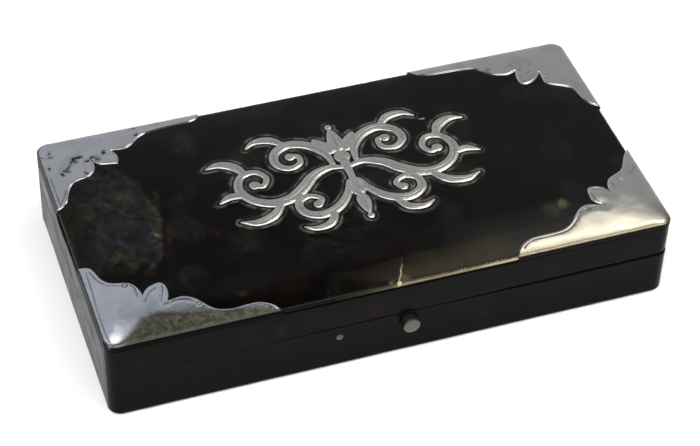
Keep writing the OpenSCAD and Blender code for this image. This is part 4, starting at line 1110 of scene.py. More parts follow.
EYELETS = {"front_left": [(9.6, 18.9, 0.62), (25.5, 7.7, 0.5)], "front_right": [(15.9, 10.4, 0.4)], "back_left": [],
           "back_right": [(24.2, 6.9, 0.55)]}
# punched or worn dark pits: place and half width
PITS = {
    "front_left": [],
    "front_right": [(22.4, 9.8, 0.16), (20.9, 10.1, 0.18), (20, 10.3, 0.16), (18.9, 10.3, 0.2), (18, 10.4, 0.16)],
    "back_left": [(9.6, 9.1, 0.62), (8.5, 9.8, 0.66), (7.4, 10.5, 0.42), (6.4, 12.3, 0.5), (5.5, 13.3, 0.66), (4.3, 14.2, 0.45),
                  (14.3, 11.2, 0.62), (13.3, 10.3, 0.6), (11.9, 11.3, 0.45), (16.7, 9.2, 0.5), (3.1, 4.8, 0.42),
                  (2.8, 6.2, 0.36), (1.2, 5.8, 0.3), (1.8, 10.4, 0.34), (26.7, 4.4, 0.42), (26.3, 1.6, 0.34), (10.4, 15.8, 0.4)],
    "back_right": [(10, 14.6, 0.24), (14, 11.4, 0.2), (17.2, 7.5, 0.22), (16.2, 9.3, 0.2)],
}


def build_mount(name, sx, sy):
    g = SILVER_T
    ax, ay, ar = PA + g, PB + g, PR + g
    to_xy = lambda q: np.stack([-(ax) + q[:, 0], -(ay) + q[:, 1]], 1)
    left, front = sx < 0, sy < 0
    side_name = ("front" if front else "back") + "_" + ("left" if left else "right")
    curves = MOUNT_EDGES[side_name]
    u_end, v_end = curves[2][-1][0], curves[0][0][1]
    parts = []
    for e in curves:
        parts.append(resample(to_xy(catmull(e, 12)), 0.34))
    free = np.vstack([parts[0][:-1], parts[1][:-1], parts[2]])
    outer = [(-ax + u_end - i * 0.8, -ay) for i in range(1, int((u_end - ar) / 0.8))]
    outer += [(-ax + ar - ar * math.sin(a), -ay + ar - ar * math.cos(a)) for a in np.linspace(0, math.pi / 2, 15)]
    outer += [(-ax, -ay + ar + i * 0.8) for i in range(1, int((v_end - ar) / 0.8))]
    loop = np.vstack([free, np.array(outer)])
    area2 = np.sum(loop[:, 0] * np.roll(loop[:, 1], -1) - np.roll(loop[:, 0], -1) * loop[:, 1])
    if area2 < 0:
        loop = loop[::-1]
    n = len(loop)
    edges = [(i, (i + 1) % n) for i in range(n)]
    tan = np.gradient(free, axis=0)
    nrm = np.stack([-tan[:, 1], tan[:, 0]], 1) / np.linalg.norm(tan, axis=1)[:, None]
    pts = []
    for d in (0.12, 0.26, 0.42, 0.62):
        for s in (-1, 1):
            q = free + nrm * d * s
            q = q[inside(q, loop)]
            if len(q):
                q = q[seg_dist(q, free) > 0.88 * d]
                pts.append(q)
    edge_pts = np.vstack(pts)
    edge_pts = edge_pts[seg_dist(edge_pts, np.array(outer)) > 0.12]
    lines = []
    groove_pts = []
    for ctrl, strength in ENGRAVED[side_name]:
        line = resample(to_xy(catmull(ctrl, 10)), 0.3)
        lines.append((line, strength))
        tn = np.gradient(line, axis=0)
        nm = np.stack([-tn[:, 1], tn[:, 0]], 1) / (np.linalg.norm(tn, axis=1)[:, None] + 1e-9)
        for off in (-0.30, -0.15, 0, 0.15, 0.30):
            groove_pts.append(line + nm * off)
    dots = [(np.array([-ax + u, -ay + v]), r) for u, v, r in EYELETS[side_name]]
    pits = [(np.array([-ax + u, -ay + v]), r) for u, v, r in PITS[side_name]]
    for c, r in pits:
        for rr, k in ((0.0, 1), (0.5 * r, 8), (r, 12), (1.4 * r, 14)):
            groove_pts.append(np.array([[c[0] + rr * math.cos(2 * math.pi * i / k), c[1] + rr * math.sin(2 * math.pi * i / k)] for i in range(k)]))
    for c, r in dots:
        for rr in (0.0, 0.5 * r, r, 1.5 * r):
            k = 1 if rr == 0 else 14
            groove_pts.append(np.array([[c[0] + rr * math.cos(2 * math.pi * i / k), c[1] + rr * math.sin(2 * math.pi * i / k)] for i in range(k)]))
    groove_pts = np.vstack(groove_pts)
    groove_pts = groove_pts[inside(groove_pts, loop)]
    groove_pts = groove_pts[seg_dist(groove_pts, loop, True) > 0.14]
    edge_pts = thin_out(edge_pts, groove_pts, 0.11)
    rim = []
    for k, t in enumerate(LIP[1:9]):
        q = rr_loop(ax - t, ay - t, ar + 0.8 * t, 0.55 + 0.1 * k, 12)
        q = q[(q[:, 0] < -ax + 47) & (q[:, 1] < -ay + 31)]
        q = q[inside(q, loop)]
        q = q[seg_dist(q, free) > 0.2]
        rim.append(q)
    rim = thin_out(np.vstack(rim), np.vstack([groove_pts, edge_pts]), 0.13)
    fill = hexes(-ax, -ax + 46, -ay, -ay + 31, 0.8)
    fill = fill[inside(fill, loop)]
    fill = fill[(seg_dist(fill, free) > 0.8) & (rr_sdf(fill[:, 0], fill[:, 1], ax - 2.4, ay - 2.4, ar + 1.9) < 0)]
    fill = thin_out(fill, groove_pts, 0.42)
    keep = lambda c: inside(c, loop)
    v2, f = tri_patch(np.vstack([loop, edge_pts, groove_pts, rim, fill]), edges, keep)
    low = hexes(-ax, -ax + 46, -ay, -ay + 31, 2.6)
    low = low[inside(low, loop)]
    low = low[seg_dist(low, loop, True) > 0.9]
    v2b, fb = tri_patch(np.vstack([loop, low]), edges, keep)

    def place(q):
        return np.stack([q[:, 0] * -sx, q[:, 1] * -sy], 1)

    w = place(v2)
    t = inset(w[:, 0], w[:, 1], g)
    fade = smooth01((t - 0.4) / 3)
    z = TOPZ + g + pchip(t, PROFILE[:, 0], PROFILE[:, 1]) + fade * undulate(w[:, 0], w[:, 1])
    d_free = seg_dist(v2, free)
    worn_arm = smooth01((v2[:, 0] - v2[:, 1] + ax - ay - 8) / 6) if side_name == "front_right" else np.zeros(len(v2))
    z -= (0.19 - 0.14 * worn_arm) * (1 - smooth01(d_free / 0.42)) * smooth01(t / 0.4)
    z += 0.035 * (1 - 0.8 * worn_arm) * np.exp(-((d_free - 0.75) / 0.45) ** 2) * smooth01((t - 0.6) / 1.0)
    groove = np.zeros(len(v2))
    for line, strength in lines:
        groove = np.maximum(groove, strength * np.exp(-(seg_dist(v2, line) / 0.15) ** 2))
    for c, r in dots:
        dd = np.hypot(v2[:, 0] - c[0], v2[:, 1] - c[1])
        groove = np.maximum(groove, np.exp(-((dd - r) / 0.13) ** 2))
    for k, (c, r) in enumerate(pits):
        e = v2 - c
        turn = math.radians(47 * k)
        p_, q_ = e[:, 0] * math.cos(turn) + e[:, 1] * math.sin(turn), e[:, 1] * math.cos(turn) - e[:, 0] * math.sin(turn)
        blot = smooth01((1.35 - np.hypot(p_, q_ / 0.62) / (1.7 * r) + 0.25 * waves(v2, 0.9, 140 + k)) * 1.1)
        groove = np.maximum(groove, 0.88 * blot)
    seed = 60 + int(sx + 1) * 3 + int(sy + 1)
    groove *= 0.80 + 0.20 * smooth01(waves(v2, 5, seed) + 0.6)
    groove *= smooth01((t - 0.3) / 0.5)
    z -= 0.085 * groove
    dents = 0.014 * waves(w, 9, seed + 20) + 0.004 * waves(w, 3.0, seed + 21)
    z += dents * smooth01((t - 0.7) / 1.5) * smooth01(d_free / 0.8)
    if front:
        in_ = v2[:, 0] + ax
        far = 6.5 + (0.0 if left else 3.5) * smooth01((in_ - 10) / 8)
        grow = (t - 1.2).clip(0)
        z += (0.030 if left else 0.020) * far * np.tanh(grow * grow / (grow + 0.8) / far) * smooth01(d_free / 2.8) * (smooth01((18 - in_) / 6) if left else 1.0)
    z = np.minimum(z, 25.93)
    top3 = np.column_stack([w, z])
    wb = place(v2b)
    tb = inset(wb[:, 0], wb[:, 1], 0.0)
    zb = TOPZ + pchip(tb, PROFILE[:, 0], PROFILE[:, 1]) + smooth01((tb - 0.4) / 3) * undulate(wb[:, 0], wb[:, 1]) - 0.10
    outside = rr_sdf(wb[:, 0], wb[:, 1], PA, PB, PR) > -0.05
    zb = np.where(outside, TOPZ + 0.02, zb)
    bot3 = np.column_stack([wb, zb])
    verts, faces = close_solid(v2, f, top3, v2b, fb, bot3)
    u, v_ = v2[:, 0] + ax, v2[:, 1] + ay
    dirt = 0.22 * smooth01(waves(v2, 5, seed + 5) - 0.6)
    # olive tarnish in random patches on every mount
    shade = 0.18 * smooth01(waves(v2, 9, seed + 6) - 0.8)
    shine = np.zeros(len(v2))
    # front left: below this boundary the slope is painted dark olive, standing in for a dark reflection, and a painted
    # highlight sits on the corner bulge
    if left and front:
        bound = np.interp(u, [3.0, 4.4, 6.6, 7.8, 10.2, 13.1, 15.6, 19.2, 22.6, 26.2, 28.6, 32, 36, 42, 44],
                          [0.6, 1.8, 3.8, 5.0, 7.3, 8.0, 8.0, 7.1, 5.9, 5.2, 4.7, 3.8, 3.5, 2.0, 0.3]) + 0.12 * waves(v2, 5, 133)
        blur = np.interp(u, [5, 9, 13, 17], [3.2, 3.2, 1.9, 1.1])
        shade = np.maximum(shade, smooth01((bound - v_) / blur + 0.4) * smooth01((u - 3.0) / 2.6))
        shine = 0.9 * np.exp(-(((u - v_) / (0.5 + 0.12 * (u + v_ - 4).clip(0))) ** 2 + ((u + v_ - 7.0) / 3.2) ** 2))
        dirt = np.where(shade > 0.4, 0.0, 0.3 * dirt)
    painted_slope_shade = np.zeros(len(v2))
    if front and not left:
        dirt = 0.3 * dirt
        # front right: painted shade, darker warmer silver towards the front edge and at the corner rim, shaping the
        # reflected glow
        painted_slope_shade = np.interp(v_, [2, 4, 6, 8, 10.5], [0.70, 0.56, 0.38, 0.18, 0.0])
        painted_slope_shade = np.maximum(painted_slope_shade, 0.97 * smooth01((2.5 - v_) / 1.4) * smooth01((15 - u) / 6))
    # the rolled rim and the outward wall are painted dark, painted shade in place of a dark reflection; on the front
    # mounts this painted darkening reaches further in and fades more slowly
    reach = np.full(len(t), 0.55)
    if front and not left:
        reach += 0.70 * smooth01((u - v_ - 1.0) / 4.0)
    if front and left:
        reach += 0.80 * smooth01((u - v_ - 1.5) / 5.0)
    lip = smooth01((reach - t) / (reach - 0.05))
    pad = np.zeros(len(v2b))
    full = lambda q: np.concatenate([np.clip(q, 0, 1), pad])
    attrs = dict(groove=full(groove * 1.15), dirt=full(dirt), shade=full(shade), shine=full(shine), tan=full(painted_slope_shade), lip=np.concatenate([np.clip(lip, 0, 1), pad + 1.0]))
    return make("silver_corner_" + side_name, verts, faces, M_SILVERS[side_name], "lid", name, 40, attrs)


# ------------------------------------------------------------------ the scroll mount
def build_scroll():
    base = [resample(smooth_loop(resample(c, 0.2, True), 2), 0.3, True) for c in contours(0.0)]
    pts, edges = [], []
    for c in base:
        s = len(pts)
        pts += [tuple(p) for p in c]
        edges += [(s + i, s + (i + 1) % len(c)) for i in range(len(c))]
    outline = np.array(pts)
    inner = []
    for level, step in ((-0.11, 0.3), (-0.24, 0.32), (-0.4, 0.36)):
        for c in contours(level):
            if len(c) > 12:
                inner.append(resample(smooth_loop(resample(c, 0.2, True), 1), step, True))
    inner = np.vstack(inner)
    inner = thin_out(inner, outline, 0.09)
    veins, vein_pts = [], []

    def both(line):
        return [line, np.column_stack([-line[:, 0], line[:, 1]])]

    for s in STROKES + LEAVES:
        c = catmull(s, 9)
        q = resample(c, 0.28)
        q = q[q[:, 2] > 1.9]
        if len(q) > 6:
            for line in both(q[:, :2]):
                veins.append(line)
                tn = np.gradient(line, axis=0)
                nm = np.stack([-tn[:, 1], tn[:, 0]], 1) / (np.linalg.norm(tn, axis=1)[:, None] + 1e-9)
                for off in (-0.26, -0.12, 0.0, 0.12, 0.26):
                    vein_pts.append(line + nm * off)
    for p in PETALS[:1] + PETALS[2:]:
        line = np.stack([np.zeros(12), np.linspace(p[1] - 2.6, p[1] + 2.2, 12)], 1)
        veins.append(line)
        for off in (-0.26, -0.12, 0.0, 0.12, 0.26):
            vein_pts.append(line + np.array([off, 0]))
    vein_pts = np.vstack(vein_pts)
    fv = field_at(vein_pts[:, 0] + SCROLL[0], vein_pts[:, 1] + SCROLL[1])
    vein_pts = vein_pts[fv < -0.42]
    keep_v = [vein_pts[0]]
    vein_pts = vein_pts[np.unique((vein_pts / 0.09).round().astype(int), axis=0, return_index=True)[1]]
    inner = thin_out(inner, vein_pts, 0.12)
    fill = hexes(-37, 37, -20, 22, 0.55)
    fill = fill[field_at(fill[:, 0] + SCROLL[0], fill[:, 1] + SCROLL[1]) < -0.55]
    fill = thin_out(fill, np.vstack([vein_pts, inner]), 0.26)

    def keep(c):
        odd = np.zeros(len(c), bool)
        for loop in base:
            odd ^= inside(c, loop)
        return odd

    inner = inner[keep(inner)]
    v2, f = tri_patch(np.vstack([outline, inner, vein_pts, fill]), edges, keep)
    v2b, fb = tri_patch(outline, edges, keep)
    d = -field_at(v2[:, 0] + SCROLL[0], v2[:, 1] + SCROLL[1])
    d = np.clip(d, 0, None)
    zt = 25.75 - 0.20 * (1 - smooth01(d / 0.40)) + 0.05 * smooth01((d - 0.5) / 0.8)
    vein = np.zeros(len(v2))
    for line in veins:
        lo, hi = line.min(0) - 1, line.max(0) + 1
        near = np.where((v2[:, 0] > lo[0]) & (v2[:, 0] < hi[0]) & (v2[:, 1] > lo[1]) & (v2[:, 1] < hi[1]))[0]
        if len(near):
            vein[near] = np.maximum(vein[near], np.exp(-(seg_dist(v2[near], line) / 0.125) ** 2))
    vein *= smooth01((d - 0.35) / 0.25)
    rings = np.zeros(len(v2))
    for x, y, r in BEADS:
        for sgn in (1, -1):
            dd = np.hypot(v2[:, 0] - sgn * x, v2[:, 1] - y)
            rings = np.maximum(rings, 0.8 * np.exp(-((dd - 0.62 * r) / 0.13) ** 2) * (r > 1.2))
    groove = np.maximum(vein, rings * smooth01((d - 0.2) / 0.3))
    groove *= 0.7 + 0.3 * smooth01(waves(v2, 6, 71) + 0.5)
    zt -= 0.09 * groove
    zt += 0.012 * waves(v2, 5, 72)
    x, y = v2[:, 0] + SCROLL[0], v2[:, 1] + SCROLL[1]
    top3 = np.column_stack([x, y, np.minimum(zt, 25.82)])
    bot3 = np.column_stack([v2b[:, 0] + SCROLL[0], v2b[:, 1] + SCROLL[1], np.full(len(v2b), 25.22)])
    verts, faces = close_solid(v2, f, top3, v2b, fb, bot3)
    pad = np.zeros(len(v2b))
    dirt = 0.30 * smooth01(waves(v2, 4, 73) - 0.4)
    attrs = dict(groove=np.concatenate([np.clip(groove * 0.8, 0, 1), pad]), dirt=np.concatenate([dirt, pad]))
    return make("silver_scroll", verts, faces, M_SCROLL, "lid", "scroll_mount", 36, attrs)


# ------------------------------------------------------------------ veneer strips
def wrap_path(front):
    """Plan line of a front or back strip, going anticlockwise round the box, and its outward directions."""
    s = -1 if front else 1
    pts, nor = [], []

    def add(x, y, nx, ny):
        pts.append((x, y))
        nor.append((nx, ny))

    y_end = s * 34.7
    c = (HL - CORNER_R, HW - CORNER_R)
    add(s * HL, y_end, s, 0)
    add(s * HL, s * (34.7 + 0.3), s, 0)
    n = 14
    for i in range(n + 1):
        a = math.pi / 2 * i / n
        add(s * (c[0] + CORNER_R * math.cos(a)), s * (c[1] + CORNER_R * math.sin(a)), s * math.cos(a), s * math.sin(a))
    xs = set(np.round(np.linspace(-c[0], c[0], 121)[1:-1], 4))
    if not front:
        xs |= {hx + e for hx in HINGES for e in (-9.32, -9.28, 9.28, 9.32)}
    for x in sorted(xs, reverse=s > 0):
        add(x, s * HW, 0, s)
    for i in range(n + 1):
        a = math.pi / 2 * i / n
        add(-s * (c[0] + CORNER_R * math.sin(a)), s * (c[1] + CORNER_R * math.cos(a)), -s * math.sin(a), s * math.cos(a))
    add(-s * HL, s * (34.7 + 0.3), -s, 0)
    add(-s * HL, y_end, -s, 0)
    return np.array(pts), np.array(nor)


def side_path(left):
    s = -1 if left else 1
    ys = np.linspace(s * -34.7, s * 34.7, 60)
    return np.stack([np.full(60, s * HL), ys], 1), np.stack([np.full(60, float(s)), np.zeros(60)], 1)


def cut_back(x, y, z, z0, z1, tray):
    """Heights squeezed to clear the bevel along the back, and the knuckles where the hinges are."""
    q = y - AXIS_Y
    gap = np.maximum(q, 0) * BEVEL + 0.05
    hinge = np.minimum.reduce([np.abs(x - hx) for hx in HINGES]) < 9.3
    round_ = np.sqrt(np.clip(1.36 ** 2 - q ** 2, 0, None))
    gap = np.where(hinge & (np.abs(q) < 1.36), np.maximum(gap, round_), gap)
    if tray:
        top = np.minimum(z1, AXIS_Z - gap)
        return z0 + (z - z0) * (top - z0) / (z1 - z0)
    low = np.maximum(z0, AXIS_Z + gap)
    return z1 - (z1 - z) * (z1 - low) / (z1 - z0)


def build_strip(name, path, nor, z0, z1, holes=(), seed=0, low_r=0.25, tray=True, spots=()):
    seg = np.linalg.norm(np.diff(path, axis=0), axis=1)
    s_at = np.concatenate([[0], np.cumsum(seg)])
    L, H = s_at[-1], z1 - z0

    def plan(s):
        return (np.stack([np.interp(s, s_at, path[:, k]) for k in (0, 1)], 1),
                np.stack([np.interp(s, s_at, nor[:, k]) for k in (0, 1)], 1))

    rows = sorted(set([0.0, 0.04, 0.12, 0.25] + ([0.45, 0.7, 0.95] if low_r > 0.4 else [])))
    rows = np.array(rows + [0.4, 0.55] + list(np.arange(1.3, H - 0.9, 0.95)) + [H - 0.75, H - 0.58, H - 0.42, H - 0.28, H - 0.16, H - 0.07, H])
    rows = np.unique(rows.round(4))
    cols = [0.0, 0.06, 0.16, 0.3]
    cols = np.unique(np.round(np.concatenate([cols, s_at[(s_at > 0.35) & (s_at < L - 0.35)], [L - 0.3, L - 0.16, L - 0.06, L]]), 4))
    border = [(s, 0.0) for s in cols[:-1]] + [(L, h) for h in rows[:-1]] + [(s, H) for s in cols[::-1][:-1]] + [(0.0, h) for h in rows[::-1][:-1]]
    pts, edges = list(border), [(i, (i + 1) % len(border)) for i in range(len(border))]
    hole_loops = []
    for cs, cz, r in holes:
        n = 40
        st = len(pts)
        loop = [(cs + r * math.cos(2 * math.pi * i / n), cz - z0 + r * math.sin(2 * math.pi * i / n)) for i in range(n)]
        pts += loop
        edges += [(st + i, st + (i + 1) % n) for i in range(n)]
        hole_loops.append((cs, cz - z0, r))
    ring_extra = []
    for cs, cz, r in hole_loops:
        for rr in (r + 0.08, r + 0.2, r + 0.4, r + 0.8):
            ring_extra += [(cs + rr * math.cos(2 * math.pi * i / 40), cz + rr * math.sin(2 * math.pi * i / 40)) for i in range(40)]
    grid = np.array([(s, h) for s in cols[1:-1] for h in rows[1:-1]])
    ok = np.ones(len(grid), bool)
    for cs, cz, r in hole_loops:
        ok &= np.hypot(grid[:, 0] - cs, grid[:, 1] - cz) > r + 1.1
    ring_extra = np.array(ring_extra).reshape(-1, 2)
    if len(ring_extra):
        ring_extra = ring_extra[(ring_extra[:, 1] > 0.06) & (ring_extra[:, 1] < H - 0.06)]
        near_row = np.abs(ring_extra[:, 1:2] - rows[None]).min(1)
    allp = np.vstack([np.array(pts), grid[ok], ring_extra])

    def keep(c):
        k = (c[:, 0] > 0) & (c[:, 0] < L) & (c[:, 1] > 0) & (c[:, 1] < H)
        for cs, cz, r in hole_loops:
            k &= np.hypot(c[:, 0] - cs, c[:, 1] - cz) > r * 0.999
        return k

    v2, f = tri_patch(allp, edges, keep)
    sx_ = np.linspace(0, L, max(3, int(L / 4)))[1:-1]
    low = np.array([(s, h) for s in sx_ for h in np.linspace(0, H, 4)[1:-1]])
    for cs, cz, r in hole_loops:
        low = low[np.hypot(low[:, 0] - cs, low[:, 1] - cz) > r + 0.6]
    corner_cols = s_at[(s_at > 0.2) & (s_at < 7.0)].tolist() + s_at[(s_at > L - 7.0) & (s_at < L - 0.2)].tolist() if L > 100 else []
    extra = np.array([(s, h) for s in corner_cols for h in (H * 0.3, H * 0.7)]).reshape(-1, 2)
    v2b, fb = tri_patch(np.vstack([np.array(pts), low, extra]), edges, keep)
    P, N = plan(v2[:, 0])
    x_like = P[:, 0]
    h = v2[:, 1]
    # softened arrises: the parting line opens towards the right end of the front
    front_side = P[:, 1] < 0
    bevel = np.interp(x_like, [-36, -28, -8, 10, 25, 40, 60, 75], [0, 0.18, 0.22, 0.25, 0.36, 0.56, 0.56, 0.46]) * front_side
    r_top = np.full(len(h), 0.05 if tray else 0.16)
    r_bot = np.full(len(h), low_r if tray else 0.05)

    def round_off(dist, r):
        q = np.clip(dist / r, 0, 1)
        return r * (1 - np.sqrt(np.clip(1 - (1 - q) ** 2, 0, 1)))

    depth = round_off(H - h, r_top) + round_off(h, r_bot)
    q3 = np.column_stack([P * 1.0, h])
    depth = depth + 0.022 * waves(q3, 26, seed) + 0.010 * waves(q3, 7, seed + 1) + 0.022
    end = np.minimum(v2[:, 0], L - v2[:, 0])
    depth += 0.07 * np.exp(-(end / 0.14) ** 2)
    if not tray:
        depth += 0.16 * smooth01((x_like - 58) / 14)
        if "left" in name:
            depth += 0.075 * ((h - (H - 2.3)) / 1.0).clip(0) ** 2
    for cs, cz, r in hole_loops:
        dd = np.hypot(v2[:, 0] - cs, h - cz) - r
        depth += 0.09 * np.exp(-(dd / 0.14) ** 2)
    nick = smooth01(waves(q3, 2.2, seed + 2) - 0.85) * (np.exp(-((H - h) / 0.3) ** 2) + 0.6 * np.exp(-(h / 0.3) ** 2))
    depth += 0.07 * nick
    into = (h - (H - bevel)) if tray else (0.6 * bevel - h)
    depth += 0.8 * np.clip(into, 0, None)
    # gap on the walls: painted shade along the opened parting line, under the panel's edge at the front, and over the
    # upper part of the left lid end, reaching lower between the mounts
    gap = smooth01(into / 0.10 + 0.5) * (bevel > 0.02)
    if not tray:
        if "left" in name:
            gap = np.maximum(gap, 0.96 * smooth01((h - (H - 0.85)) / 0.5))
            gap = np.maximum(gap, 0.55 * smooth01((h - (H - 2.4)) / 2.0))
            low_by = np.interp(P[:, 1], [-10, -1, 8, 13, 14], [0.0, 0.8, 2.0, 2.2, 0.0])
            gap = np.maximum(gap, 0.97 * smooth01((h - (H - 0.85 - low_by)) / 0.9))
        else:
            gap = np.maximum(gap, 0.97 * smooth01((h - (H - 0.42)) / 0.22) * (P[:, 1] < 0))
    depth = np.clip(depth, 0.0, 0.7)
    dz = np.zeros(len(h))
    near_back = np.where(P[:, 1] > 34, 0.0, 1.0)
    if tray:
        dz += 0.10 * near_back * smooth01((h - (H - 1.2)) / 1.2)
    else:
        dz -= 0.10 * near_back * smooth01((1.2 - h) / 1.2)
    placed = P - N * depth[:, None]
    top3 = np.column_stack([placed, cut_back(placed[:, 0], placed[:, 1], z0 + h + dz, z0, z1, tray)])
    Pb, Nb = plan(v2b[:, 0])
    mb = 0.10 * np.where(Pb[:, 1] > 33.5, 0.0, 1.0)
    dzb = mb * (v2b[:, 1] > H - 1e-4) if tray else -mb * (v2b[:, 1] < 1e-4)
    placed = Pb - Nb * VENEER
    bot3 = np.column_stack([placed, cut_back(placed[:, 0], placed[:, 1], z0 + v2b[:, 1] + dzb, z0, z1, tray)])
    verts, faces = close_solid(v2, f, top3, v2b, fb, bot3)
    amber = np.zeros(len(v2))
    ember = np.zeros(len(v2))
    for kind, px, pz, rx, rz, amount in spots:
        near = smooth01((1.15 - np.hypot((P[:, 0] - px) / rx, (z0 + h - pz) / rz)) * 2.0) * amount
        if kind == "amber":
            amber = np.maximum(amber, near)
        else:
            ember = np.maximum(ember, near)
    pad = np.zeros(len(v2b))
    zz = z0 + h
    # painted sheen on the walls: on the front darkest towards the foot and lightest at mid height, on the left ends an
    # even bluish painted reflection
    haze = np.interp(zz, [0, 3, 8, 13, 18, 23], [0.0, 0.05, 0.35, 0.75, 0.75, 0.5]) * ("front" in name) * smooth01(1.6 - np.abs(P[:, 0] + 4) / 90)
    if "left" in name:
        haze = np.full(len(h), 0.9)
    attrs = dict(amber=np.concatenate([amber, pad]), ember=np.concatenate([ember, pad]), haze=np.concatenate([haze, pad]),
                 gap=np.concatenate([gap, pad]))
    mat = M_SHELL_END if "left" in name else M_SHELL_SIDE
    return make("shell_" + name.replace("_veneer", ""), verts, faces, mat, "tray" if tray else "lid", name, 36, attrs)


def lathe(name, profile, at, axis, mat, body, node=(), n=32, sharp=40, attrs=None):
    """Turned solid: profile is [(radius, height)] from the middle of the bottom to the middle of the top, along an axis."""
    a = Vector(axis).normalized()
    u = a.orthogonal().normalized()
    w = a.cross(u)
    verts, faces = [], []
    rings = []
    for r, h in profile:
        if r < 1e-6:
            rings.append([len(verts)])
            verts.append(Vector(at) + a * h)
        else:
            ring = []
            for i in range(n):
                t = 2 * math.pi * i / n
                ring.append(len(verts))
                verts.append(Vector(at) + a * h + (u * math.cos(t) + w * math.sin(t)) * r)
            rings.append(ring)
    for p, q in zip(rings[:-1], rings[1:]):
        if len(p) == 1 and len(q) == 1:
            continue
        for i in range(n):
            j = (i + 1) % n
            if len(p) == 1:
                faces.append((p[0], q[j], q[i]))
            elif len(q) == 1:
                faces.append((p[i], p[j], q[0]))
            else:
                faces.append((p[i], p[j], q[j], q[i]))
    verts = np.array([tuple(v) for v in verts])
    if name is None:
        return verts, faces
    return make(name, verts, faces, mat, body, node, sharp, attrs)


def gather(parts):
    """Several vertex and face lists as one."""
    V, F, off = [], [], 0
    for v, f in parts:
        V.append(v)
        F += [tuple(i + off for i in q) for q in f]
        off += len(v)
    return np.vstack(V), F


def dome(r, h, under=0.0, steps=6):
    """Profile of a domed nail head with a thin straight rim."""
    out = [(0.0, -under), (r * 0.98, -under), (r, -under * 0.5), (r, h * 0.18)]
    for i in range(1, steps):
        a = math.pi / 2 * i / steps
        out.append((r * math.cos(a), h * 0.18 + h * 0.82 * math.sin(a)))
    return out + [(0.0, h)]


build_panel()
for sy, fb_ in ((-1, "front"), (1, "back")):
    for sx, lr in ((-1, "left"), (1, "right")):
        build_mount("corner_mount_%s_%s" % (fb_, lr), sx, sy)
build_scroll()

FRONT_SPOTS_LID = [("amber", -31.0, 17.8, 1.1, 1.6, 0.62), ("ember", -31.0, 17.4, 2.2, 2.2, 0.55), ("amber", -7.0, 17.2, 1.3, 1.7, 0.75),
                   ("ember", -6.5, 17.7, 2.8, 2.0, 0.6), ("ember", 8.3, 17.5, 2.0, 2.2, 0.25), ("ember", -22, 20.5, 3.0, 0.9, 0.2),
                   ("ember", 42, 17.0, 2.5, 1.0, 0.15), ("amber", -58, 19.5, 1.0, 0.7, 0.15)]
FRONT_SPOTS_TRAY = [("ember", -30.5, 11.8, 2.6, 1.3, 0.25), ("ember", -61, 9.0, 2.2, 1.5, 0.18), ("amber", 22.9, 6.3, 1.3, 0.6, 0.18),
                    ("ember", 52, 7.5, 2.4, 1.1, 0.12)]
for tray in (True, False):
    z0, z1 = (0.3, RIM) if tray else (LIDZ, TOPZ)
    pre = "tray" if tray else "lid"
    p, nrm_ = wrap_path(True)
    s_mid = np.linalg.norm(np.diff(p, axis=0), axis=1).sum() / 2
    holes = []
    if tray:
        # the front path runs from the left end to the right end, its middle at x = 0
        holes = [(s_mid + BUTTON[0], BUTTON[1], 2.43), (s_mid + RIVET[0], RIVET[1], 0.75)]
    build_strip(pre + "_front_veneer", p, nrm_, z0, z1, holes, 80 if tray else 84, 0.85 if tray else 0.25, tray,
                FRONT_SPOTS_TRAY if tray else FRONT_SPOTS_LID)
    p, nrm_ = wrap_path(False)
    build_strip(pre + "_back_veneer", p, nrm_, z0, z1, (), 88 if tray else 92, 0.85 if tray else 0.25, tray,
                [("ember", 20, 9 if tray else 18, 4, 2.2, 0.5), ("amber", -36, 6 if tray else 20, 1.6, 1.0, 0.5), ("ember", -50, 10 if tray else 17, 3, 1.6, 0.5)])
    for left in (True, False):
        p, nrm_ = side_path(left)
        build_strip("%s_%s_veneer" % (pre, "left" if left else "right"), p, nrm_, z0, z1, (), 96 + 4 * left + 2 * tray, 0.85 if tray else 0.25, tray)


# ------------------------------------------------------------------ small fittings
def nail(at, axis, r, h, under=0.3):
    return lathe(None, dome(r, h, under, 5), at, axis, None, None, n=20)


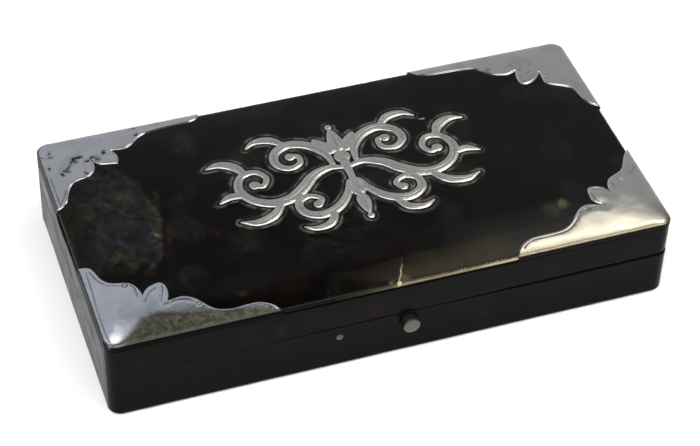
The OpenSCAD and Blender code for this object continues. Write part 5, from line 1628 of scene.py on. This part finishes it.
def build_fittings():
    # push button: flat face with a worn shoulder, set in its hole; all but its face is painted dark through the groove
    # attribute, as painted shade in the hole
    prof = [(0.0, 0.0), (1.1, 0.0), (1.1, 0.3), (0.6, 0.3), (0.6, 1.3), (2.33, 1.3), (2.33, 5.62), (2.30, 5.84), (2.20, 6.02),
            (2.02, 6.16), (1.75, 6.26), (1.2, 6.335), (0.6, 6.375), (0.0, 6.39)]
    v, f = lathe(None, prof, (BUTTON[0], -34.8, BUTTON[1]), (0, -1, 0), None, None, n=56)
    make("push_button", v, f, M_BUTTON, "catch", "catch_button", 30, dict(groove=0.9 * smooth01((v[:, 1] + 34.8 + 6.16) / 0.12)))
    prof = [(0.0, 0.0), (1.2, 0.0), (1.2, 0.35), (0.7, 0.35), (0.7, 3.3), (0.93, 3.32), (0.95, 3.38), (0.86, 3.48), (0.62, 3.60), (0.3, 3.66), (0.0, 3.68)]
    lathe("rivet_head", prof, (RIVET[0], -35.35, RIVET[1]), (0, -1, 0), M_RIVET, "tray", "catch_rivet", 28, 30)

    parts = []
    for sx in (-1, 1):
        for sy in (-1, 1):
            for u, v in ((1.2, 9.2), (16.4, 3.1)):
                x, y = sx * (PA - u), sy * (PB - v)
                e = 0.15
                q = np.array([[x, y], [x + e, y], [x, y + e]])
                z, _ = shell_z(q[:, 0], q[:, 1], SILVER_T)
                n = Vector((-(z[1] - z[0]) / e, -(z[2] - z[0]) / e, 1.0)).normalized()
                parts.append(nail((x, y, z[0] - 0.035), n, 0.42, 0.055, 0.5))
    v, f = gather(parts)
    make("mount_pins", v, f, M_PIN, "lid", "corner_mount_pins", 35)

    for name, node, body, z in (("hinge_nails_tray", "hinge_tray_nails", "tray", RIM - 4), ("hinge_nails_lid", "hinge_lid_nails", "lid", LIDZ + 3.0)):
        parts = [nail((hx + dx, IY + 0.02, z), (0, -1, 0), 0.75, 0.22, 0.9) for hx in HINGES for dx in (-6.2, 0, 6.2)]
        v, f = gather(parts)
        make(name, v, f, M_BRASS, body, node, 35)
    for name, node, body, z, d in (("plate_nails", "catch_plate_nails", "tray", RIM, 1), ("strike_nails", "strike_plate_nails", "lid", LIDZ, -1)):
        parts = [nail((BUTTON[0] + s * 5.5, -36.85, z - 0.01 * d), (0, 0, d), 0.64, 0.075, 1.2) for s in (-1, 1)]
        v, f = gather(parts)
        make(name, v, f, M_BRASS, body, node, 35)


def build_spring():
    """Flat spring: broad at the rivet and under the button, waisted between, left unparented off the catch body."""
    outline = []
    xs = np.linspace(-17.7, 6.0, 60)
    half = np.interp(xs, [-17.7, -17.1, -15.5, -13.0, -10.5, -5.2, -2.5, 0.5, 4.6, 5.6, 6.0], [0.7, 1.5, 1.9, 1.75, 1.35, 1.25, 1.5, 2.05, 2.05, 1.6, 0.8])
    zc = np.interp(xs, [-17.7, -12, -4, 6.0], [10.35, 10.35, 10.45, 10.5])
    loop = np.vstack([np.column_stack([xs, zc - half]), np.column_stack([xs, zc + half])[::-1]])
    n = len(loop)
    keep = lambda c: inside(c, loop)
    fill = hexes(-17.7, 6.0, 8.2, 12.8, 0.7)
    fill = fill[inside(fill, loop)]
    fill = fill[seg_dist(fill, loop, True) > 0.3]
    v2, f = tri_patch(np.vstack([loop, fill]), [(i, (i + 1) % n) for i in range(n)], keep)
    d = seg_dist(v2, loop, True)
    bow = 0.03 * np.sin((v2[:, 0] + 15.5) / 18.5 * math.pi)
    top = np.column_stack([v2[:, 0], -35.72 - 0.02 * (d < 0.05) + bow, v2[:, 1]])
    bot = np.column_stack([v2[:, 0], -36.08 + 0.02 * (d < 0.05) + bow, v2[:, 1]])
    verts, faces = close_solid(v2, f, top, v2, f, bot)
    ob = make("catch_blade", verts, faces, M_STEEL, "catch", "catch_spring", 35)
    world = ob.matrix_world.copy()
    ob.parent = None
    ob.matrix_world = world
    del ob["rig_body"]
    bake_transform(ob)


# ------------------------------------------------------------------ velvet and silk
def loop_normals(a, b, r, step, arc=5):
    pts, nor = [], []
    for k, (cx, cy) in enumerate([(a - r, b - r), (-(a - r), b - r), (-(a - r), -(b - r)), (a - r, -(b - r))]):
        for i in range(arc + 1):
            t = math.pi / 2 * (k + i / arc)
            pts.append((cx + r * math.cos(t), cy + r * math.sin(t)))
            nor.append((math.cos(t), math.sin(t)))
        nxt = [(-(a - r), b), (-a, -(b - r)), (a - r, -b), (a, b - r)][k]
        p0, p1 = np.array(pts[-1]), np.array(nxt)
        m_ = max(1, int(round(np.linalg.norm(p1 - p0) / step)))
        for i in range(1, m_):
            pts.append(tuple(p0 + (p1 - p0) * i / m_))
            nor.append(nor[-1])
    return np.array(pts), np.array(nor)


def build_ring(name, a, b, r, section, mat, body, node, seed, soft=0.06, low=None):
    """A padded band round the inside of the walls; section is [(inset, height)] right round, low(x, y) may lift its foot."""
    pts, nor = loop_normals(a, b, r, 1.6)
    cols = []
    for i, (p, q) in enumerate(zip(pts, nor)):
        cols.append((p, q))
    m_ = len(section)
    z_low, z_high = min(s[1] for s in section), max(s[1] for s in section)
    verts = []
    for p, q in cols:
        foot = z_low if low is None else low(p[0], p[1])
        for inset_, z in section:
            zz = z_high - (z_high - z) * (z_high - foot) / (z_high - z_low)
            verts.append((p[0] - q[0] * inset_, p[1] - q[1] * inset_, zz))
    verts = np.array(verts)
    idx = np.tile(np.arange(m_), len(cols))
    ins = np.array([s[0] for s in section])[idx]
    free = smooth01(ins / max(ins.max(), 1e-6) * 1.6 - 0.6)
    off = soft * waves(verts, 9, seed) * free
    for i, (p, q) in enumerate(cols):
        verts[i * m_:(i + 1) * m_, :2] -= np.outer(off[i * m_:(i + 1) * m_], q)
    verts[:, 2] += 0.5 * soft * waves(verts, 6, seed + 1) * (np.abs(verts[:, 2] - z_high) < 0.7)
    verts[:, 2] = np.minimum(verts[:, 2], z_high + 0.05)
    n = len(cols)
    faces = []
    for i in range(n):
        j = (i + 1) % n
        for k in range(m_):
            l = (k + 1) % m_
            faces.append((i * m_ + k, j * m_ + k, j * m_ + l, i * m_ + l))
    return make(name, verts, faces, mat, body, node, 55)


def build_divider(name, x0, seed):
    sec = [(-0.86, 4.55), (-0.90, 6.0), (-0.92, 9.0), (-0.90, 11.4), (-0.84, 12.05), (-0.62, 12.42), (-0.3, 12.58), (0, 12.62),
           (0.3, 12.58), (0.62, 12.42), (0.84, 12.05), (0.90, 11.4), (0.92, 9.0), (0.90, 6.0), (0.86, 4.55)]
    ys = np.concatenate([[-32.52, -32.2], np.arange(-31.5, 31.6, 1.5), [32.2, 32.52]])
    verts = np.array([(x0 + sx, y, sz) for y in ys for sx, sz in sec])
    w = waves(verts, 11, seed)
    side = np.sign(verts[:, 0] - x0) * (np.abs(verts[:, 0] - x0) > 0.5)
    verts[:, 0] += 0.05 * w * side + 0.05 * np.sin(verts[:, 1] / 11.0 + seed)
    high = verts[:, 2] > 12.0
    verts[high, 2] += -0.12 * smooth01(1 - np.abs(verts[high, 1] / 33)) + 0.05 * waves(verts, 8, seed + 1)[high]
    m_, n = len(sec), len(ys)
    faces = [(i * m_ + k, (i + 1) * m_ + k, (i + 1) * m_ + (k + 1) % m_, i * m_ + (k + 1) % m_) for i in range(n - 1) for k in range(m_)]
    faces += [tuple(range(m_)), tuple(range((n - 1) * m_, n * m_))[::-1]]
    return make(name, verts, faces, M_VELVET, "tray", name.replace("velvet_", ""), 60)


def build_floor_lining():
    a, b = 68.8, 32.5
    xs = [-a, -68.2] + list(np.arange(-67, 67.1, 1.6)) + [68.2, a]
    ys = [-b, -31.9] + list(np.arange(-30.5, 30.6, 1.6)) + [31.9, b]
    pts = np.array([(x, y) for x in xs for y in ys])
    border = np.array([(x, -b) for x in xs[:-1]] + [(a, y) for y in ys[:-1]] + [(x, b) for x in xs[::-1][:-1]] + [(-a, y) for y in ys[::-1][:-1]])
    inner = np.array([(x, y) for x in xs[1:-1] for y in ys[1:-1]])
    n = len(border)
    edges = [(i, (i + 1) % n) for i in range(n)]
    box_ = lambda c: (np.abs(c[:, 0]) < a) & (np.abs(c[:, 1]) < b)
    v2, f = tri_patch(np.vstack([border, inner]), edges, box_)
    v2b, fb = tri_patch(border, edges, box_)
    near = np.minimum.reduce([np.abs(np.abs(v2[:, 0]) - a), np.abs(np.abs(v2[:, 1]) - b)] + [np.abs(np.abs(v2[:, 0] - x) - 0.9) for x in (-34.85, 0.0, 34.85)])
    z = 4.45 + 0.30 * smooth01(near / 3.0) + 0.06 * waves(v2, 10, 201) * smooth01(near / 2.0)
    verts, faces = close_solid(v2, f, np.column_stack([v2, z]), v2b, fb, np.column_stack([v2b, np.full(len(v2b), 3.62)]))
    ob = make("velvet_floor", verts, faces, M_VELVET, "tray", "tray_floor_lining", 50)


def build_underside():
    a, b, r = 74.1, 37.8, 2.6
    outline = rr_loop(a, b, r, 1.2)
    rings = np.vstack([rr_loop(a - t, b - t, r, 1.4, 8) for t in (0.12, 0.3, 0.6, 1.2)])
    fill = hexes(-a, a, -b, b, 2.2)
    fill = fill[rr_sdf(fill[:, 0], fill[:, 1], a, b, r) < -1.9]
    n = len(outline)
    edges = [(i, (i + 1) % n) for i in range(n)]
    keep = lambda c: rr_sdf(c[:, 0], c[:, 1], a, b, r) < 1e-4
    v2, f = tri_patch(np.vstack([outline, rings, fill]), edges, keep)
    d = -rr_sdf(v2[:, 0], v2[:, 1], a, b, r)
    q = np.clip(d / 0.45, 0, 1)
    z = 0.42 * (1 - np.sqrt(np.clip(1 - (1 - q) ** 2, 0, 1))) + 0.02 + 0.035 * (waves(v2, 24, 211) * 0.5 + 0.5).clip(0, 1) * smooth01(d / 4)
    ridge = np.abs(waves(v2, 13, 212))
    z += 0.04 * smooth01(1 - ridge / 0.35) * smooth01((d - 0.5) / 3) * smooth01(1.2 - d / 9)
    verts, faces = close_solid(v2, f, np.column_stack([v2, np.full(len(v2), 0.6)]), v2, f, np.column_stack([v2, np.clip(z, 0, 0.5)]))
    ob = make("underside_cloth", verts, faces, M_CLOTH, "tray", "tray_underside_cover", 50)


BIG = 0.01  # the soft pieces are simulated ten times as large, as ordinary cushions: 1 mm is 0.01 m


def new_mesh_object(name, verts, faces):
    me = bpy.data.meshes.new(name)
    me.from_pydata([tuple(v) for v in verts], [], faces)
    ob = bpy.data.objects.new(name, me)
    bpy.context.scene.collection.objects.link(ob)
    return ob


def settled(ob):
    bpy.context.view_layer.update()
    e = ob.evaluated_get(bpy.context.evaluated_depsgraph_get())
    return bpy.data.meshes.new_from_object(e)


def swell(name, a, b, r, cx, cy, z0, z1, voxel, pinned, shaped, cap, pressure, frames, mat, body, node, slot, fill, finish=None):
    """A padded piece: a rounded slab, voxel remeshed, blown up by a cloth simulation with its back held, then smoothed."""
    loop = rr_loop(a, b, r, 4.0, 6)
    n = len(loop)
    hs = [z0, (z0 + z1) / 2, z1]
    verts = [((cx + x) * BIG, (cy + y) * BIG, h * BIG) for h in hs for x, y in loop]
    faces = [tuple(range(n))[::-1]]
    for k in range(len(hs) - 1):
        faces += [(k * n + i, k * n + (i + 1) % n, (k + 1) * n + (i + 1) % n, (k + 1) * n + i) for i in range(n)]
    faces.append(tuple(range((len(hs) - 1) * n, len(hs) * n)))
    ob = new_mesh_object(name + "_work", verts, faces)
    rm = ob.modifiers.new("remesh", "REMESH")
    rm.mode = "VOXEL"
    rm.voxel_size = voxel * BIG
    me = settled(ob)
    ob.modifiers.clear()
    old = ob.data
    ob.data = me
    bpy.data.meshes.remove(old)
    co = np.zeros(len(me.vertices) * 3)
    me.vertices.foreach_get("co", co)
    co = co.reshape(-1, 3) / BIG
    co = shaped(co)
    me.vertices.foreach_set("co", (co * BIG).ravel())
    me.update()
    hold = ob.vertex_groups.new(name="hold")
    for i in np.where(pinned(co))[0]:
        hold.add([int(i)], 1.0, "REPLACE")
    cl = ob.modifiers.new("cloth", "CLOTH")
    s = cl.settings
    s.quality = 6
    s.mass = 0.3
    s.tension_stiffness = s.compression_stiffness = 18
    s.shear_stiffness = 8
    s.bending_stiffness = 0.6
    s.use_pressure = True
    s.uniform_pressure_force = pressure
    s.vertex_group_mass = "hold"
    s.effector_weights.gravity = 0.0
    cl.point_cache.frame_start, cl.point_cache.frame_end = 1, frames
    sc = bpy.context.scene
    sc.frame_start, sc.frame_end = 1, frames
    for fr in range(1, frames + 1):
        sc.frame_set(fr)
    blown = settled(ob)
    out = np.zeros(len(blown.vertices) * 3)
    blown.vertices.foreach_get("co", out)
    out = out.reshape(-1, 3) / BIG
    bpy.data.meshes.remove(blown)
    ob.modifiers.clear()
    sc.frame_set(1)
    move = out - co
    length = np.linalg.norm(move, axis=1)
    print("%s: %d points, swelled up to %.2f mm" % (name, len(co), length.max()))
    move *= (cap * np.tanh(length / cap) / np.maximum(length, 1e-9))[:, None]
    co = co + move
    if finish is not None:
        co = finish(co)
    me.vertices.foreach_set("co", (co * 0.001).ravel())
    me.update()
    sub = ob.modifiers.new("subdivision", "SUBSURF")
    sub.levels = sub.render_levels = 1
    done_ = settled(ob)
    ob.modifiers.clear()
    ob.data = done_
    bpy.data.meshes.remove(me)
    done_.polygons.foreach_set("use_smooth", np.ones(len(done_.polygons), bool))
    done_.materials.clear()
    done_.materials.append(mat)
    ob.name = name
    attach(ob, body)
    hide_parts(node)
    return ob


TUFTS = [(-51, -17), (-17, -17), (17, -17), (51, -17), (-51, 17), (-17, 17), (17, 17), (51, 17), (-34, 0), (0, 0), (34, 0)]


def build_pincushion():
    def shaped(co):
        u, v = np.abs(co[:, 0] - 52.275) / 15.6, np.abs(co[:, 1]) / 31.6
        crown = (1 - u ** 2.6).clip(0, 1) * (1 - v ** 4).clip(0, 1)
        up_ = smooth01((co[:, 2] - 5.2) / 6.5)
        co = co.copy()
        co[:, 2] += up_ * 0.9 * crown
        pull = 0.55 * smooth01(1 - np.abs(co[:, 2] - 9.0) / 4.0) * np.exp(-((np.abs(np.abs(co[:, 1]) - 16)) / 16) ** 2) * 0.4
        co[:, 0] -= np.sign(co[:, 0] - 52.275) * pull * (u > 0.9)
        return co

    def finish(co):
        co = co.copy()
        co[:, 2] = np.where(co[:, 2] < 4.78, 4.70, co[:, 2])
        co[:, 0] = np.clip(co[:, 0], 35.85, 68.72)
        co[:, 1] = np.clip(co[:, 1], -32.42, 32.42)
        co[:, 2] += 0.05 * waves(co, 7, 221) * smooth01((co[:, 2] - 8) / 4)
        # a sewn line along the middle of each long side, pulled in, and puckers from it
        near = np.exp(-((co[:, 2] - 12.3) / 0.5) ** 2) * (np.abs(co[:, 0] - 52.275) > 14.2)
        co[:, 0] -= np.sign(co[:, 0] - 52.275) * 0.16 * near
        near_y = np.exp(-((co[:, 2] - 12.3) / 0.5) ** 2) * (np.abs(co[:, 1]) > 30.2)
        co[:, 1] -= np.sign(co[:, 1]) * 0.16 * near_y
        return co

    swell("velvet_pincushion", 16.0, 31.9, 2.8, 52.275, 0.0, 4.75, 12.2, 1.5, lambda co: co[:, 2] < 5.6, shaped, 1.7, 4.0, 20,
          M_VELVET, "tray", "pincushion", "velvet", 0.8, finish)


def build_silk_pad():
    def dimple(co):
        d = np.full(len(co), 99.0)
        for x, y in TUFTS:
            d = np.minimum(d, np.hypot(co[:, 0] - x, co[:, 1] - y))
        return d

    def shaped(co):
        d = dimple(co)
        co = co.copy()
        low = smooth01((19.9 - co[:, 2]) / 0.8)
        co[:, 2] += low * 1.15 * np.exp(-(d / 3.4) ** 2)
        return co

    def pinned(co):
        return (co[:, 2] > 19.75) | (dimple(co) < 1.5)

    def finish(co):
        co = co.copy()
        co[:, 2] = np.clip(co[:, 2], 17.2, 20.15)
        co[:, 0] = np.clip(co[:, 0], -68.8, 68.8)
        co[:, 1] = np.clip(co[:, 1], -32.5, 32.5)
        # creases that run from button to button
        low = smooth01((19.4 - co[:, 2]) / 0.8)
        crease = np.zeros(len(co))
        for x0, y0 in TUFTS:
            for x1, y1 in TUFTS:
                if abs(abs(x1 - x0) - 17) < 1 and abs(abs(y1 - y0) - 17) < 1 and (x0, y0) < (x1, y1):
                    dd = seg_dist(co[:, :2], np.array([(x0, y0), (x1, y1)]))
                    crease = np.maximum(crease, np.exp(-(dd / 0.9) ** 2))
        co[:, 2] += low * 0.34 * crease
        return co

    swell("silk_pad", 68.3, 32.0, 2.0, 0.0, 0.0, 18.35, 20.05, 0.85, pinned, shaped, 1.1, 5.0, 20,
          M_SILK, "lid", "lid_silk_pad", "silk", 0.6, finish)
    parts = []
    for x, y in TUFTS:
        prof = [(0.0, -0.5), (0.9, -0.5), (1.05, -0.2), (1.05, 0.05), (0.9, 0.25), (0.6, 0.40), (0.3, 0.47), (0.0, 0.49)]
        parts.append(lathe(None, prof, (x, y, 19.05), (0, 0, -1), None, None, n=18))
    v, f = gather(parts)
    make("silk_buttons", v, f, M_SILK, "lid", (), 50)


def dress_frame():
    """The carried-over wood and metal nodes: materials, and edges broken by a fine bevel."""
    plan = {}
    for side in ("front", "back"):
        for part in ("tray", "lid"):
            plan["%s_%s_wall" % (part, side)] = (M_WOOD_X, 0.22)
    for side in ("left", "right"):
        for part in ("tray", "lid"):
            plan["%s_%s_wall" % (part, side)] = (M_WOOD_Y, 0.22)
        for leaf in ("tray_leaf", "lid_leaf"):
            plan["hinge_%s_%s" % (side, leaf)] = (M_BRASS, 0.07)
        plan["hinge_%s_pin" % side] = (M_STEEL, 0.08)
    plan["tray_bottom_board"] = (M_WOOD_X, 0.2)
    plan["lid_top_board"] = (M_WOOD_X, 0.15)
    plan["lid_crown"] = (M_WOOD_X, 0.0)
    plan["catch_hook"] = (M_STEEL, 0.07)
    plan["catch_plate"] = (M_BRASS, 0.06)
    plan["strike_plate"] = (M_BRASS, 0.06)
    for node, (mat, width) in plan.items():
        ob = NODES[node]
        ob.data.materials.clear()
        ob.data.materials.append(mat)
        if width:
            weld = ob.modifiers.new("weld", "WELD")
            weld.merge_threshold = 0.000002
            bev = ob.modifiers.new("bevel", "BEVEL")
            bev.width = width * 0.001
            bev.segments = 2
            bev.limit_method = "ANGLE"
            bev.angle_limit = math.radians(38)
            bev.use_clamp_overlap = True
            bev.harden_normals = False


build_fittings()
build_spring()
TRAY_SECTION = [(0.02, 3.66), (1.16, 3.66), (1.20, 5.2), (1.22, 8.0), (1.21, 10.8), (1.17, 12.4), (1.05, 12.95), (0.82, 13.25), (0.55, 13.38), (0.28, 13.30), (0.06, 13.05), (0.02, 12.6)]
ring_ob = build_ring("velvet_walls", 69.98, 33.68, 1.9, TRAY_SECTION, M_VELVET, "tray", "tray_wall_lining", 231)
LID_SECTION = [(0.02, 20.15), (0.96, 20.15), (1.0, 19.0), (1.02, 17.4), (1.0, 16.0), (0.93, 15.3), (0.72, 14.92), (0.45, 14.78), (0.2, 14.9), (0.02, 15.3)]


def lid_foot(x, y):
    return 18.95 if y > 33 and any(abs(x - hx) < 9.3 for hx in HINGES) else 14.78


ring_ob = build_ring("silk_walls", 69.98, 33.68, 1.9, LID_SECTION, M_SILK, "lid", "lid_wall_lining", 241, 0.05, lid_foot)
for nm, x0, sd in (("velvet_divider_left", -34.85, 251), ("velvet_divider_middle", 0.0, 252), ("velvet_divider_right", 34.85, 253)):
    build_divider(nm, x0, sd)
build_floor_lining()
build_underside()
build_pincushion()
build_silk_pad()
dress_frame()
